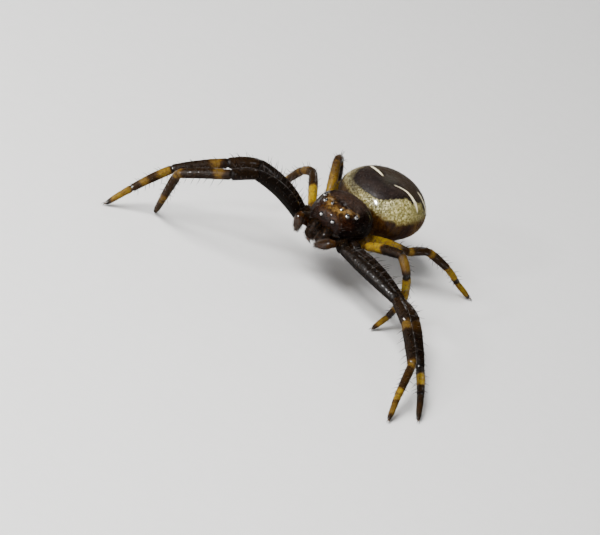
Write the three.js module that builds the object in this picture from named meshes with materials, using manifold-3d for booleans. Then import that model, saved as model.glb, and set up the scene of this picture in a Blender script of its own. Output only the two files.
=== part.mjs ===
// A crab spider at its real size, about 7 mm long, standing with its long front legs spread wide.
// Millimetres, +Z up. The spider faces -Y, its left side is +X, and its eight feet stand on z = 0.
import * as THREE from 'three';
import { mergeVertices } from 'three/addons/utils/BufferGeometryUtils.js';
import Module from 'manifold-3d';

const wasm = await Module();
wasm.setup();

// Heights and gaps
const bodyHeight = 2.9; // middle of the carapace above the floor
const pieceGap = 0.05; // between one piece and the next
const tipHeight = 0.08; // axis of a foot above the floor at its tip

// How finely round pieces are cut into faces
const capSteps = 2; // rings in the rounded end of a limb piece
const ballSides = 10;
const ballRings = 6;
const legSides = { front: 10, hind: 9 };
const smallSides = 8;

// Carapace, from face to waist, about the middle of the carapace:
// [how far back, half width, top, underside]
const carapaceStations = [
  [-1.58, 0.42, 0.42, -0.02],
  [-1.48, 0.8, 0.7, -0.3],
  [-1.15, 1.02, 0.9, -0.58],
  [-0.6, 1.36, 1.03, -0.74],
  [0.1, 1.58, 1.08, -0.8],
  [0.75, 1.42, 0.98, -0.78],
  [1.2, 1.02, 0.7, -0.66],
  [1.44, 0.58, 0.3, -0.46],
];
const carapaceFrontY = -1.62;
const carapaceBackY = 1.5;
const carapaceSquareness = 2.3; // 2 is an ellipse, more is boxier
const clypeusEdge = { y: -1.12, z: -0.14 }; // the jaws hang in the notch below and in front of this
const faceNotchWidth = 2;
const mouthNotchWidth = 1.32;

// Abdomen
const abdomenCentre = new THREE.Vector3(0.2, 3.35, 0.15);
const abdomenHalfWidth = 2.15;
const abdomenHalfHeight = 1.6;
const abdomenBackLength = 2.37;
const abdomenFrontLength = 1.75;
const abdomenYaw = -10; // degrees, hind end towards the spider's left
const abdomenPitch = -2; // degrees
const bellyTuck = 0.15; // how much narrower the abdomen is towards its underside
const pedicelRadius = 0.3;
const pedicelZ = -0.28;
const pedicelStartY = 1.3;
const pedicelEndY = 1.9;
const spinneretAlong = 148; // degrees from the front end, along the underside
const spinneretDroop = 35; // degrees below level
const spinneretMound = [0.3, 0.08]; // radius, length
// Each pair of cones: [out from the middle, up, radius, length]
const spinneretCones = [
  [0.15, -0.13, 0.14, 0.3],
  [0.08, 0.02, 0.09, 0.24],
  [0.14, 0.14, 0.12, 0.28],
];

// Eyes, left side: [name, x, y, z, radius, radius of the tubercle it stands on]
const eyes = [
  ['ame', 0.3, -1.5, 0.46, 0.085, 0],
  ['ale', 0.585, -1.17, 0.8, 0.12, 0.2],
  ['pme', 0.2, -1.02, 0.96, 0.08, 0],
  ['ple', 0.87, -0.82, 0.86, 0.11, 0.22],
];

const tubercleDrop = 0.08; // from the middle of an eye to the middle of its tubercle

// Legs: [femur, patella, tibia, metatarsus, tarsus]
const segmentNames = ['femur', 'patella', 'tibia', 'metatarsus', 'tarsus'];
const legPairs = {
  1: { hip: [1.35, -1.4, -0.5], lengths: [3.65, 1.5, 2.4, 2.05, 1.35], build: 'front' },
  2: { hip: [1.7, -0.6, -0.55], lengths: [3.15, 1.5, 2.55, 2.05, 1.4], build: 'front' },
  3: { hip: [1.65, 0.3, -0.55], lengths: [2.2, 1.0, 1.4, 1.15, 1.0], build: 'hind' },
  4: { hip: [1.3, 1.1, -0.55], lengths: [2.3, 1.2, 1.65, 1.25, 1.1], build: 'hind' },
};
// Radii along a segment, evenly spaced from its near joint to its far one
const radii = {
  front: {
    femur: [0.3, 0.34, 0.35, 0.34, 0.31, 0.28],
    patella: [0.28, 0.3, 0.29, 0.27],
    tibia: [0.27, 0.27, 0.26, 0.25, 0.24],
    metatarsus: [0.24, 0.24, 0.235, 0.23],
    tarsus: [0.23, 0.22, 0.19, 0.1],
  },
  hind: {
    femur: [0.25, 0.27, 0.28, 0.28, 0.26],
    patella: [0.26, 0.27, 0.25],
    tibia: [0.25, 0.25, 0.24, 0.23],
    metatarsus: [0.23, 0.23, 0.22],
    tarsus: [0.22, 0.21, 0.18, 0.1],
  },
};
// The pose in whole degrees. Pitch is up from level; heading is forward from straight out sideways.
// The tarsus has no pitch of its own, as it slopes from the last joint down to the floor.
const pose = {
  L1: { pitch: [-2, -6, -17, -20], heading: [9, 36, 42, 69, 65] },
  L2: { pitch: [-14, 1, -21, -3], heading: [0, 30, 42, 56, 53] },
  L3: { pitch: [27, -41, -67, -46], heading: [15, 8, -64, 91, 96] },
  L4: { pitch: [-8, 7, -26, -38], heading: [-54, -63, -55, -60, -46] },
  R1: { pitch: [30, -2, -26, -67], heading: [58, 70, 26, -57, -62] },
  R2: { pitch: [28, -13, -27, -39], heading: [39, 51, 42, 61, 65] },
  R3: { pitch: [16, -29, -57, -45], heading: [-51, -35, -28, -88, -94] },
  R4: { pitch: [49, -20, -59, -71], heading: [-48, -74, -96, -96, -96] },
};
// How far the middle of a segment bows up from the straight line between its joints, femurs first
const femurBows = { L1: 0.06, L2: 0.1, L3: 0.06, L4: 0.06, R1: 0.24, R2: 0.16, R3: 0.06, R4: 0.06 };
const bows = {
  front: { patella: 0.05, tibia: 0.04, metatarsus: 0.05, tarsus: 0.03 },
  hind: { patella: 0.05, tibia: 0.03, metatarsus: 0.03, tarsus: 0.03 },
};
// Bristles of a leg segment, in rows along it: [how many, degrees round from the top to the front, length]
const bristleRows = {
  front: {
    femur: [[4, 0, 0.42], [3, 55, 0.42], [2, -25, 0.36]],
    patella: [[1, 10, 0.4], [1, 70, 0.34]],
    tibia: [[4, 140, 0.36], [4, -140, 0.36], [2, 20, 0.36]],
    metatarsus: [[4, 140, 0.34], [4, -140, 0.34], [1, 60, 0.3]],
    tarsus: [],
  },
  hind: {
    femur: [[2, 0, 0.36], [1, 60, 0.32]],
    patella: [[1, 10, 0.34]],
    tibia: [[2, 20, 0.34], [2, 150, 0.28]],
    metatarsus: [[2, 20, 0.3], [2, 150, 0.26]],
    tarsus: [],
  },
};
const bristleSeed = 7;
const bristleRadius = 0.045; // at its root
const bristleSides = 4;
const bristleLean = 38; // degrees from straight out towards the foot or the hind end
const bristleGap = 0.1; // how far round a bristle other pieces are looked for
const bristleSink = 0.95; // share of a limb's radius at which a bristle starts, as its sides are flat
const floorClearance = 0.06; // under the tip of a bristle
// Bristles of the body: [share of the way back or angle from the front, degrees round from the left side]
const carapaceBristles = [
  [0.02, [30, 62, 90, 118, 150]],
  [0.3, [48, 75, 105, 132]],
  [0.52, [40, 70, 110, 140]],
  [0.74, [55, 90, 125]],
];
const carapaceBristleLength = 0.34;
const faceShare = 0.1; // bristles nearer the front than this are the face's
const faceBristleLean = 0.9;
const backBristleLean = 0.3;
const abdomenBristles = [
  [42, [40, 65, 90, 115, 140]],
  [66, [20, 48, 76, 104, 132, 160]],
  [90, [8, 35, 62, 90, 118, 145, 172]],
  [114, [20, 48, 76, 104, 132, 160]],
  [138, [10, 50, 90, 130, 170]],
];
const abdomenBristleLength = 0.24;
const clawLength = 0.2;
const clawRadius = 0.05;
const clawSpread = 20; // degrees each way from straight ahead
const coxaRadii = [0.34, 0.34, 0.3];
const coxaRoot = 0.45; // of the way from the middle line to the hip

// Jaws and palps, left side
const cheliceraTop = new THREE.Vector3(0.32, -1.46, 0.2);
const cheliceraEnd = new THREE.Vector3(0.27, -1.7, -0.74);
const cheliceraRadii = [0.3, 0.31, 0.3, 0.25, 0.17];
const fangLength = 0.27;
const fangRadii = [0.1, 0.09, 0.06, 0.02];
const fangLean = new THREE.Vector3(-0.1, 0.12, 0); // how far the tip leans in and back
const maxillaStart = [0.34, -0.7, -0.6];
const maxillaRadii = [0.3, 0.26, 0.2];
const palpRadii = [0.12, 0.14, 0.16, 0.17];
const palpTarsusRadii = [0.19, 0.22, 0.17, 0.06];
const palpJoints = {
  left: [
    [0.51, -1.25, -0.74],
    [0.94, -1.73, -0.4],
    [0.96, -2.02, -0.28],
    [0.28, -2.15, -0.82],
  ],
  right: [
    [-0.51, -1.25, -0.74],
    [-0.96, -1.76, -0.26],
    [-1.04, -2.03, -0.09],
    [-0.87, -2.07, -0.83],
  ],
};

const skins = {
  carapace: material(0x2e1c12, 0.35),
  jaw: material(0x2a1710, 0.35),
  eye: material(0x0c0a0a, 0.1),
  darkLeg: material(0x24160f, 0.35),
  bandedLeg: material(0x6e4a20, 0.4),
  abdomen: material(0x8d8674, 0.4),
  spinneret: material(0x3a2818, 0.5),
};

const pieces = [];

function material(color, roughness) {
  return new THREE.MeshStandardMaterial({ color, roughness, metalness: 0 });
}

function degrees(angle) {
  return THREE.MathUtils.degToRad(angle);
}

// Turns a closed geometry into a solid that can be joined and cut.
function solidOf(geometry) {
  const bare = geometry.clone();
  bare.deleteAttribute('normal');
  bare.deleteAttribute('uv');
  const merged = mergeVertices(bare, 1e-4);
  return new wasm.Manifold(
    new wasm.Mesh({
      numProp: 3,
      vertProperties: merged.attributes.position.array,
      triVerts: new Uint32Array(merged.index.array),
    }),
  );
}

// Keeps the largest closed surface of a solid.
function largestOf(solid) {
  const bodies = solid.decompose();
  bodies.sort((a, b) => b.volume() - a.volume());
  return bodies[0];
}

// Notes a named piece of the spider, with the bristles that are to grow from it.
function addPiece(name, solid, skin, bristles = []) {
  pieces.push({ name, solid: largestOf(solid), skin, bristles });
}

// Fuses each piece with its bristles, apart from those that would come too near another piece.
function fuseBristles() {
  for (const piece of pieces) {
    const others = pieces.filter((other) => other !== piece);
    const isClear = (one) => others.every((other) => one.minGap(other.solid, bristleGap) > pieceGap);
    piece.solid = largestOf(joinAll([piece.solid, ...piece.bristles.filter(isClear)]));
  }
}

function meshOf({ name, solid, skin }) {
  const { vertProperties, triVerts } = solid.getMesh();
  const geometry = new THREE.BufferGeometry();
  geometry.setAttribute('position', new THREE.BufferAttribute(new Float32Array(vertProperties), 3));
  geometry.setIndex(new THREE.BufferAttribute(new Uint32Array(triVerts), 1));
  geometry.computeVertexNormals();
  const mesh = new THREE.Mesh(geometry, skin);
  mesh.name = name;
  return mesh;
}

function joinAll(solids) {
  return solids.reduce((joined, solid) => joined.add(solid));
}

// Keeps the part of a solid that lies on the side of a plane that its normal points to.
function keepBeyond(solid, point, normal, clearance) {
  const n = normal.clone().normalize();
  return solid.trimByPlane([n.x, n.y, n.z], n.dot(point) + clearance);
}

// The way that a limb piece bows: straight up, as far as that is square to its length.
function riseOf(along) {
  return new THREE.Vector3(0, 0, 1).addScaledVector(along, -along.z).normalize();
}

function bowAt(bow, share) {
  return bow * 4 * share * (1 - share);
}

// The radius of a limb piece, some share of the way along it.
function sizeAt(sizes, share) {
  const place = share * (sizes.length - 1);
  const before = Math.min(Math.floor(place), sizes.length - 2);
  return THREE.MathUtils.lerp(sizes[before], sizes[before + 1], place - before);
}

// A round limb piece from one joint to the next, with a ball at each end. Its middle bows up.
function limb(from, to, sizes, sides, bow = 0) {
  const length = from.distanceTo(to);
  const points = [];
  for (let i = capSteps; i > 0; i -= 1) {
    const angle = (Math.PI / 2) * (i / capSteps);
    points.push(new THREE.Vector2(sizes[0] * Math.cos(angle), -sizes[0] * Math.sin(angle)));
  }
  sizes.forEach((size, i) => points.push(new THREE.Vector2(size, (length * i) / (sizes.length - 1))));
  const last = sizes[sizes.length - 1];
  for (let i = 1; i <= capSteps; i += 1) {
    const angle = (Math.PI / 2) * (i / capSteps);
    points.push(new THREE.Vector2(last * Math.cos(angle), length + last * Math.sin(angle)));
  }
  points[0].x = 0;
  points[points.length - 1].x = 0;
  const geometry = new THREE.LatheGeometry(points, sides);
  const along = to.clone().sub(from).normalize();
  geometry.applyQuaternion(new THREE.Quaternion().setFromUnitVectors(new THREE.Vector3(0, 1, 0), along));
  const rise = riseOf(along);
  const places = geometry.getAttribute('position');
  for (let i = 0; i < places.count; i += 1) {
    const place = new THREE.Vector3().fromBufferAttribute(places, i);
    const share = THREE.MathUtils.clamp(place.dot(along) / length, 0, 1);
    place.addScaledVector(rise, bowAt(bow, share)).add(from);
    places.setXYZ(i, place.x, place.y, place.z);
  }
  return solidOf(geometry);
}

// A thin bristle that tapers to a point, its root sunk in the surface that it stands on.
function bristle(surface, way, length, radius = bristleRadius) {
  const root = 2 * radius;
  const geometry = new THREE.ConeGeometry(radius, length + root, bristleSides);
  geometry.translate(0, (length + root) / 2 - root, 0);
  geometry.applyQuaternion(new THREE.Quaternion().setFromUnitVectors(new THREE.Vector3(0, 1, 0), way));
  geometry.translate(surface.x, surface.y, surface.z);
  return solidOf(geometry);
}

// A random draw from -spread to spread.
function jitter(spread) {
  return spread * (2 * THREE.MathUtils.seededRandom() - 1);
}

// The rows of bristles on one limb piece, each leaning towards the foot and none below the floor.
function bristlesOn(from, to, sizes, bow, rows, side) {
  const along = to.clone().sub(from).normalize();
  const rise = riseOf(along);
  const across = new THREE.Vector3().crossVectors(along, rise).multiplyScalar(side);
  const grown = [];
  for (const [count, around, reach] of rows) {
    for (let i = 0; i < count; i += 1) {
      const share = (i + 1 + jitter(0.2)) / (count + 1);
      const angle = degrees(around + jitter(8));
      const lean = degrees(bristleLean + jitter(7));
      const length = reach * (1 + jitter(0.15));
      const out = rise.clone().multiplyScalar(Math.cos(angle)).addScaledVector(across, Math.sin(angle));
      const surface = from.clone().lerp(to, share).addScaledVector(rise, bowAt(bow, share));
      surface.addScaledVector(out, sizeAt(sizes, share) * bristleSink);
      const way = out.multiplyScalar(Math.cos(lean)).addScaledVector(along, Math.sin(lean));
      if (surface.z + way.z * length > floorClearance) {
        grown.push(bristle(surface, way, length));
      }
    }
  }
  return grown;
}

function ball(centre, radius) {
  const geometry = new THREE.SphereGeometry(radius, ballSides, ballRings);
  geometry.translate(centre.x, centre.y, centre.z);
  return solidOf(geometry);
}

// A closed surface from rings of points: ringPoint(i, angle) gives a point of ring i.
function ringSurface(rings, sides, ringPoint, firstPole, lastPole) {
  const positions = [...firstPole];
  for (let i = 0; i < rings; i += 1) {
    for (let j = 0; j < sides; j += 1) {
      positions.push(...ringPoint(i, (2 * Math.PI * j) / sides));
    }
  }
  positions.push(...lastPole);
  const index = [];
  const at = (i, j) => 1 + i * sides + (j % sides);
  const end = 1 + rings * sides;
  for (let j = 0; j < sides; j += 1) {
    index.push(0, at(0, j), at(0, j + 1));
    for (let i = 0; i < rings - 1; i += 1) {
      index.push(at(i, j), at(i + 1, j + 1), at(i, j + 1), at(i, j), at(i + 1, j), at(i + 1, j + 1));
    }
    index.push(end, at(rings - 1, j + 1), at(rings - 1, j));
  }
  const geometry = new THREE.BufferGeometry();
  geometry.setAttribute('position', new THREE.BufferAttribute(new Float32Array(positions), 3));
  geometry.setIndex(index);
  return solidOf(geometry);
}

const carapaceCurves = [0, 1, 2, 3].map((column) => new THREE.SplineCurve(
  carapaceStations.map((station, i) => new THREE.Vector2(i, station[column])),
));

// A place on the carapace or sternum: some share of the way back, and an angle round from the left side.
function carapacePoint(share, angle) {
  const [y, halfWidth, top, underside] = carapaceCurves.map((curve) => curve.getPoint(share).y);
  const rounded = (value) => Math.sign(value) * Math.abs(value) ** (2 / carapaceSquareness);
  const height = Math.sin(angle) > 0 ? top : -underside;
  return new THREE.Vector3(
    halfWidth * rounded(Math.cos(angle)),
    y,
    bodyHeight + height * rounded(Math.sin(angle)),
  );
}

// The carapace and sternum: rounded sections along the body, between the stations.
function prosomaShell() {
  const rings = 18;
  return ringSurface(
    rings,
    30,
    (i, angle) => carapacePoint(i / (rings - 1), angle).toArray(),
    [0, carapaceFrontY, bodyHeight + 0.2],
    [0, carapaceBackY, bodyHeight - 0.1],
  );
}

// 1 for a leg of the left side, -1 for one of the right.
function sideOf(name) {
  return name[0] === 'L' ? 1 : -1;
}

function hipOf(pair, side) {
  const [x, y, z] = legPairs[pair].hip;
  return new THREE.Vector3(side * x, y, z + bodyHeight);
}

function direction(side, pitch, heading) {
  const p = degrees(pitch);
  const h = degrees(heading);
  return new THREE.Vector3(side * Math.cos(h) * Math.cos(p), -Math.sin(h) * Math.cos(p), Math.sin(p));
}

// The joints of one leg, from the hip to the tip of the foot.
function legJoints(name) {
  const side = sideOf(name);
  const pair = Number(name[1]);
  const { pitch, heading } = pose[name];
  const joints = [hipOf(pair, side)];
  legPairs[pair].lengths.forEach((length, i) => {
    const from = joints[i];
    const last = i === segmentNames.length - 1;
    const slope = last ? -THREE.MathUtils.radToDeg(Math.asin((from.z - tipHeight) / length)) : pitch[i];
    joints.push(from.clone().addScaledVector(direction(side, slope, heading[i]), length));
  });
  return joints;
}

// The middle direction at a joint, across which the two pieces face each other.
function facing(before, joint, after) {
  const arriving = joint.clone().sub(before).normalize();
  const leaving = after.clone().sub(joint).normalize();
  return arriving.add(leaving).normalize();
}

function coxaStart(hip) {
  return new THREE.Vector3(hip.x * coxaRoot, hip.y * coxaRoot, hip.z);
}

function addLeg(name) {
  const { build } = legPairs[name[1]];
  const side = sideOf(name);
  const joints = legJoints(name);
  const before = [coxaStart(joints[0]), ...joints];
  segmentNames.forEach((segment, i) => {
    const from = joints[i];
    const to = joints[i + 1];
    const bow = segment === 'femur' ? femurBows[name] : bows[build][segment];
    let solid = limb(from, to, radii[build][segment], legSides[build], bow);
    const rows = bristleRows[build][segment];
    const grown = bristlesOn(from, to, radii[build][segment], bow, rows, side);
    solid = keepBeyond(solid, from, facing(before[i], from, to), pieceGap / 2);
    if (i < segmentNames.length - 1) {
      const away = facing(from, to, joints[i + 2]).negate();
      solid = keepBeyond(solid, to, away, pieceGap / 2);
    } else {
      solid = keepBeyond(solid, new THREE.Vector3(), new THREE.Vector3(0, 0, 1), 0);
      grown.push(...claws(from, to));
    }
    addPiece(`leg_${name}_${segment}`, solid, build === 'front' ? skins.darkLeg : skins.bandedLeg, grown);
  });
}

// The pair of claws at the end of a foot, level with the floor.
function claws(from, to) {
  const ahead = to.clone().sub(from).setZ(0).normalize();
  return [1, -1].map((side) => {
    const way = ahead.clone().applyAxisAngle(new THREE.Vector3(0, 0, 1), degrees(side * clawSpread));
    return bristle(to.clone().addScaledVector(way, clawRadius), way, clawLength, clawRadius);
  });
}

function eyePlace(x, y, z) {
  return new THREE.Vector3(x, y, z + bodyHeight);
}

function palpPoints(sideName) {
  return palpJoints[sideName].map(([x, y, z]) => new THREE.Vector3(x, y, z + bodyHeight));
}

// The room that the jaws take below and in front of the edge of the clypeus.
function jawNotch(width) {
  const notch = new THREE.BoxGeometry(width, 1, 2);
  notch.translate(0, clypeusEdge.y - 0.5, bodyHeight + clypeusEdge.z - 1);
  return solidOf(notch);
}

// The blade beside the mouth that carries a palp.
function maxilla(sideName) {
  const [joint, next] = palpPoints(sideName);
  const root = maxillaRoot(joint);
  const blade = limb(root, joint, maxillaRadii, smallSides);
  return keepBeyond(blade, joint, facing(root, joint, next).negate(), pieceGap / 2);
}

function maxillaRoot(joint) {
  const [x, y, z] = maxillaStart;
  return new THREE.Vector3(Math.sign(joint.x) * x, y, bodyHeight + z);
}

function coxa(name) {
  const [hip, knee] = legJoints(name);
  const start = coxaStart(hip);
  const solid = limb(start, hip, coxaRadii, legSides.front);
  return keepBeyond(solid, hip, facing(start, hip, knee).negate(), pieceGap / 2);
}

// The bristles of the carapace stand out from its middle and lean back, and those of the face lean ahead.
function carapaceBristlesGrown() {
  return carapaceBristles.flatMap(([share, angles]) => angles.map((angle) => {
    const surface = carapacePoint(share, degrees(angle));
    const way = surface.clone().sub(new THREE.Vector3(0, surface.y, bodyHeight)).normalize();
    way.y += share < faceShare ? -faceBristleLean : backBristleLean;
    return bristle(surface, way.normalize(), carapaceBristleLength);
  }));
}

// The carapace with its eye tubercles, the hips of the legs, and the mouthparts underneath.
function addProsoma() {
  const solids = [prosomaShell().subtract(jawNotch(faceNotchWidth))];
  for (const name of Object.keys(pose)) {
    solids.push(coxa(name));
  }
  for (const sideName of ['left', 'right']) {
    solids.push(maxilla(sideName).subtract(jawNotch(mouthNotchWidth)));
  }
  for (const side of [1, -1]) {
    for (const [, x, y, z, , tubercle] of eyes) {
      if (tubercle > 0) {
        solids.push(ball(eyePlace(side * x, y, z - tubercleDrop), tubercle));
      }
    }
  }
  let prosoma = joinAll(solids);
  for (const side of [1, -1]) {
    for (const [, x, y, z, radius] of eyes) {
      prosoma = prosoma.subtract(ball(eyePlace(side * x, y, z), radius + pieceGap));
    }
  }
  addPiece('prosoma', prosoma, skins.carapace, carapaceBristlesGrown());
}

function addEyes() {
  for (const [sideName, side] of [['left', 1], ['right', -1]]) {
    for (const [name, x, y, z, radius] of eyes) {
      addPiece(`eye_${name}_${sideName}`, ball(eyePlace(side * x, y, z), radius), skins.eye);
    }
  }
}

// The jaws hang below the face, each with a fang folded in under it.
function addJaws() {
  for (const [sideName, side] of [['left', 1], ['right', -1]]) {
    const flip = new THREE.Vector3(side, 1, 1);
    const lift = new THREE.Vector3(0, 0, bodyHeight);
    const top = cheliceraTop.clone().multiply(flip).add(lift);
    const end = cheliceraEnd.clone().multiply(flip).add(lift);
    const down = end.clone().sub(top).normalize();
    let jaw = limb(top, end, cheliceraRadii, legSides.front);
    const edge = new THREE.Vector3(0, clypeusEdge.y, bodyHeight + clypeusEdge.z);
    jaw = keepBeyond(jaw, edge, new THREE.Vector3(0, 0, -1), pieceGap);
    jaw = keepBeyond(jaw, edge, new THREE.Vector3(0, -1, 0), pieceGap);
    jaw = keepBeyond(jaw, new THREE.Vector3(), new THREE.Vector3(side, 0, 0), pieceGap / 2);
    jaw = keepBeyond(jaw, end, down.clone().negate(), pieceGap / 2);
    addPiece(`chelicera_${sideName}`, jaw, skins.jaw);
    const tip = end.clone().addScaledVector(down, fangLength).add(fangLean.clone().multiply(flip));
    const fang = limb(end, tip, fangRadii, smallSides);
    addPiece(`fang_${sideName}`, keepBeyond(fang, end, down, pieceGap / 2), skins.jaw);
  }
}

// Each palp reaches forward beside the jaws and hangs from its knee.
function addPalps() {
  for (const sideName of ['left', 'right']) {
    const points = palpPoints(sideName);
    const femur = limb(points[0], points[1], palpRadii, smallSides);
    const knee = limb(points[1], points[2], palpRadii.slice(1), smallSides);
    const tarsus = limb(points[2], points[3], palpTarsusRadii, smallSides);
    const palp = joinAll([femur, knee, tarsus]);
    const across = facing(maxillaRoot(points[0]), points[0], points[1]);
    addPiece(`palp_${sideName}`, keepBeyond(palp, points[0], across, pieceGap / 2), skins.jaw);
  }
}

// An egg on its side with a blunter front: front and back lengths differ and meet smoothly.
function abdomenPoint(around, along, grown = 0) {
  const ahead = Math.cos(along);
  const out = Math.sin(along);
  const front = abdomenFrontLength + grown;
  const back = abdomenBackLength + grown;
  const y = ahead > 0 ? -front * (1 - (1 - ahead) ** (back / front)) : -back * ahead;
  const tuck = 1 - bellyTuck * Math.max(0, -Math.sin(around)) ** 2;
  const point = new THREE.Vector3(
    (abdomenHalfWidth + grown) * tuck * out * Math.cos(around),
    y,
    (abdomenHalfHeight + grown) * out * Math.sin(around),
  );
  point.applyEuler(new THREE.Euler(degrees(abdomenPitch), 0, degrees(abdomenYaw), 'ZYX'));
  return point.add(abdomenCentre).add(new THREE.Vector3(0, 0, bodyHeight));
}

function abdomenSolid(grown) {
  const rings = 20;
  const along = (i) => (Math.PI * (i + 1)) / (rings + 1);
  return ringSurface(
    rings,
    36,
    (i, angle) => abdomenPoint(angle, along(i), grown).toArray(),
    abdomenPoint(0, 0, grown).toArray(),
    abdomenPoint(0, Math.PI, grown).toArray(),
  );
}

function abdomenBristlesGrown() {
  return abdomenBristles.flatMap(([along, angles]) => angles.map((around) => {
    const surface = abdomenPoint(degrees(around), degrees(along));
    const way = abdomenPoint(degrees(around), degrees(along), 1).sub(surface).normalize();
    way.y += Math.sin(degrees(bristleLean));
    return bristle(surface, way.normalize(), abdomenBristleLength);
  }));
}

function addAbdomen() {
  const waist = pedicel(pedicelRadius + pieceGap);
  addPiece('abdomen', abdomenSolid(0).subtract(waist), skins.abdomen, abdomenBristlesGrown());
}

// The narrow waist between the two halves of the body.
function pedicel(radius) {
  const from = new THREE.Vector3(0, pedicelStartY, bodyHeight + pedicelZ);
  const to = new THREE.Vector3(0, pedicelEndY, bodyHeight + pedicelZ);
  return limb(from, to, [radius, radius], legSides.front);
}

function addPedicel() {
  const behind = new THREE.Vector3(0, carapaceBackY, 0);
  const waist = keepBeyond(pedicel(pedicelRadius), behind, new THREE.Vector3(0, 1, 0), pieceGap);
  addPiece('pedicel', waist, skins.spinneret);
}

// Three pairs of short cones on a low mound, under the hind end.
function addSpinnerets() {
  const root = abdomenPoint(-Math.PI / 2, degrees(spinneretAlong));
  const back = abdomenPoint(0, Math.PI).sub(abdomenPoint(0, 0)).setZ(0).normalize();
  const across = new THREE.Vector3(back.y, -back.x, 0);
  const way = back.clone().multiplyScalar(Math.cos(degrees(spinneretDroop)));
  way.z = -Math.sin(degrees(spinneretDroop));
  const up = new THREE.Vector3().crossVectors(across, way);
  const [moundRadius, moundLength] = spinneretMound;
  const mound = root.clone().addScaledVector(way, moundLength);
  const solids = [limb(root, mound, [moundRadius, moundRadius], legSides.front)];
  for (const [sideways, upward, radius, length] of spinneretCones) {
    for (const side of [1, -1]) {
      const from = mound.clone().addScaledVector(across, side * sideways).addScaledVector(up, upward);
      solids.push(limb(from, from.clone().addScaledVector(way, length), [radius, radius * 0.6], smallSides));
    }
  }
  addPiece('spinnerets', joinAll(solids).subtract(abdomenSolid(pieceGap)), skins.spinneret);
}

THREE.MathUtils.seededRandom(bristleSeed);
addProsoma();
addEyes();
addJaws();
addPalps();
addPedicel();
addAbdomen();
addSpinnerets();
Object.keys(pose).forEach(addLeg);
fuseBristles();

const spider = new THREE.Group();
spider.add(...pieces.map(meshOf));

// The origin goes under the middle of the whole spider, on the floor.
const box = new THREE.Box3().setFromObject(spider);
const middle = box.getCenter(new THREE.Vector3());
for (const mesh of spider.children) {
  mesh.geometry.translate(-middle.x, -middle.y, 0);
}

export default spider;
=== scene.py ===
import bpy
import numpy as np
from mathutils import Matrix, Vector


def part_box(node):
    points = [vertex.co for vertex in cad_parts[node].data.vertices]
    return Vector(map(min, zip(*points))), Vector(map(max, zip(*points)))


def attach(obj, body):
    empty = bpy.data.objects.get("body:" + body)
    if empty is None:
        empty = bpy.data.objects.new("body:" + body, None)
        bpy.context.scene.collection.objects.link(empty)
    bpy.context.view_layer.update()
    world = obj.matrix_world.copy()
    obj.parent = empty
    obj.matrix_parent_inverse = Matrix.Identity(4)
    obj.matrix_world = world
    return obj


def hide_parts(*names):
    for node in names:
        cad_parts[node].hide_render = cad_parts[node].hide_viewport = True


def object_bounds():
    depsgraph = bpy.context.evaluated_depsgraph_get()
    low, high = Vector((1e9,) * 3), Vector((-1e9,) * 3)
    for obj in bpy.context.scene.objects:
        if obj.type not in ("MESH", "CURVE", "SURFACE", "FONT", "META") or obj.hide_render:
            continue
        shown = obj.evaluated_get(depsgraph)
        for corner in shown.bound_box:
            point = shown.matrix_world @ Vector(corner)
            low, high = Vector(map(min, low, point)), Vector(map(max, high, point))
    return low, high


# A crab spider at life size. Shapes are in millimetres about the middle of the carapace,
# facing -Y with the left side at +X, and become metres when a mesh is made.
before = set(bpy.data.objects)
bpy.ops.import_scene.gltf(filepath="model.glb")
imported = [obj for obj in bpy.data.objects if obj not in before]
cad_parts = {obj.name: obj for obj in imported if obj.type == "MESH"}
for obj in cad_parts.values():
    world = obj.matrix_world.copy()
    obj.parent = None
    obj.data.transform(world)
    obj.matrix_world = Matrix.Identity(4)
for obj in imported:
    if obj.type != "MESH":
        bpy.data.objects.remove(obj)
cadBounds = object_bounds()
mm = 0.001
rng = np.random.default_rng(11)

# The middle of the carapace, found from the rear side eyes of the frame
bodyHeight = 2.9
eyesAhead = 0.82
hindEyes = np.array([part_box("eye_ple_left"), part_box("eye_ple_right")]) / mm
bodyMiddle = np.array([hindEyes[..., 0].mean(), hindEyes[..., 1].mean() + eyesAhead, bodyHeight])


# Small helpers on arrays of points

def unit(v):
    return v / np.maximum(np.linalg.norm(v, axis=-1, keepdims=True), 1e-12)


def dot(a, b):
    return (a * b).sum(-1, keepdims=True)


# A hump of height 1 at 0 that falls off like a bell over the width.
def bell(x, width):
    return np.exp(-(np.asarray(x) / width) ** 2)


# 0 below low, 1 above high, with a smooth rise between.
def ramp(x, low, high):
    t = np.clip((np.asarray(x, float) - low) / (high - low), 0, 1)
    return t * t * (3 - 2 * t)


# A smooth curve through evenly spaced values, t from 0 to 1: at each value it has the slope of the line
# between that value's neighbours.
def curveThrough(values, t):
    values = np.asarray(values, float)
    last = len(values) - 1
    place = np.clip(t, 0, 1) * last
    i = np.clip(np.floor(place).astype(int), 0, last - 1)
    w = (place - i)[..., None] if values.ndim > 1 else place - i
    a, b, c, d = (values[np.clip(i + k, 0, last)] for k in (-1, 0, 1, 2))
    m, n = (c - a) / 2, (d - b) / 2
    return (2 * b - 2 * c + m + n) * w ** 3 + (3 * c - 3 * b - 2 * m - n) * w ** 2 + m * w + b


# The distance walked along a path up to each of its points.
def walkedAlong(path):
    return np.concatenate([[0], np.cumsum(np.linalg.norm(np.diff(path, axis=0), axis=1))])


# The share of the full radius near an end: it rises over the reach as a quarter circle does.
def roundedEnd(distance, reach, least):
    return np.sqrt(np.clip(1 - (1 - np.minimum(distance / reach, 1)) ** 2, least, 1))


def anglesRound(sides, first=0.0):
    return np.arange(sides) * 2 * np.pi / sides + first


# Two coordinates turned together through an angle.
def turned(a, b, angle):
    return a * np.cos(angle) - b * np.sin(angle), a * np.sin(angle) + b * np.cos(angle)


# Meshes from grids of points

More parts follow.
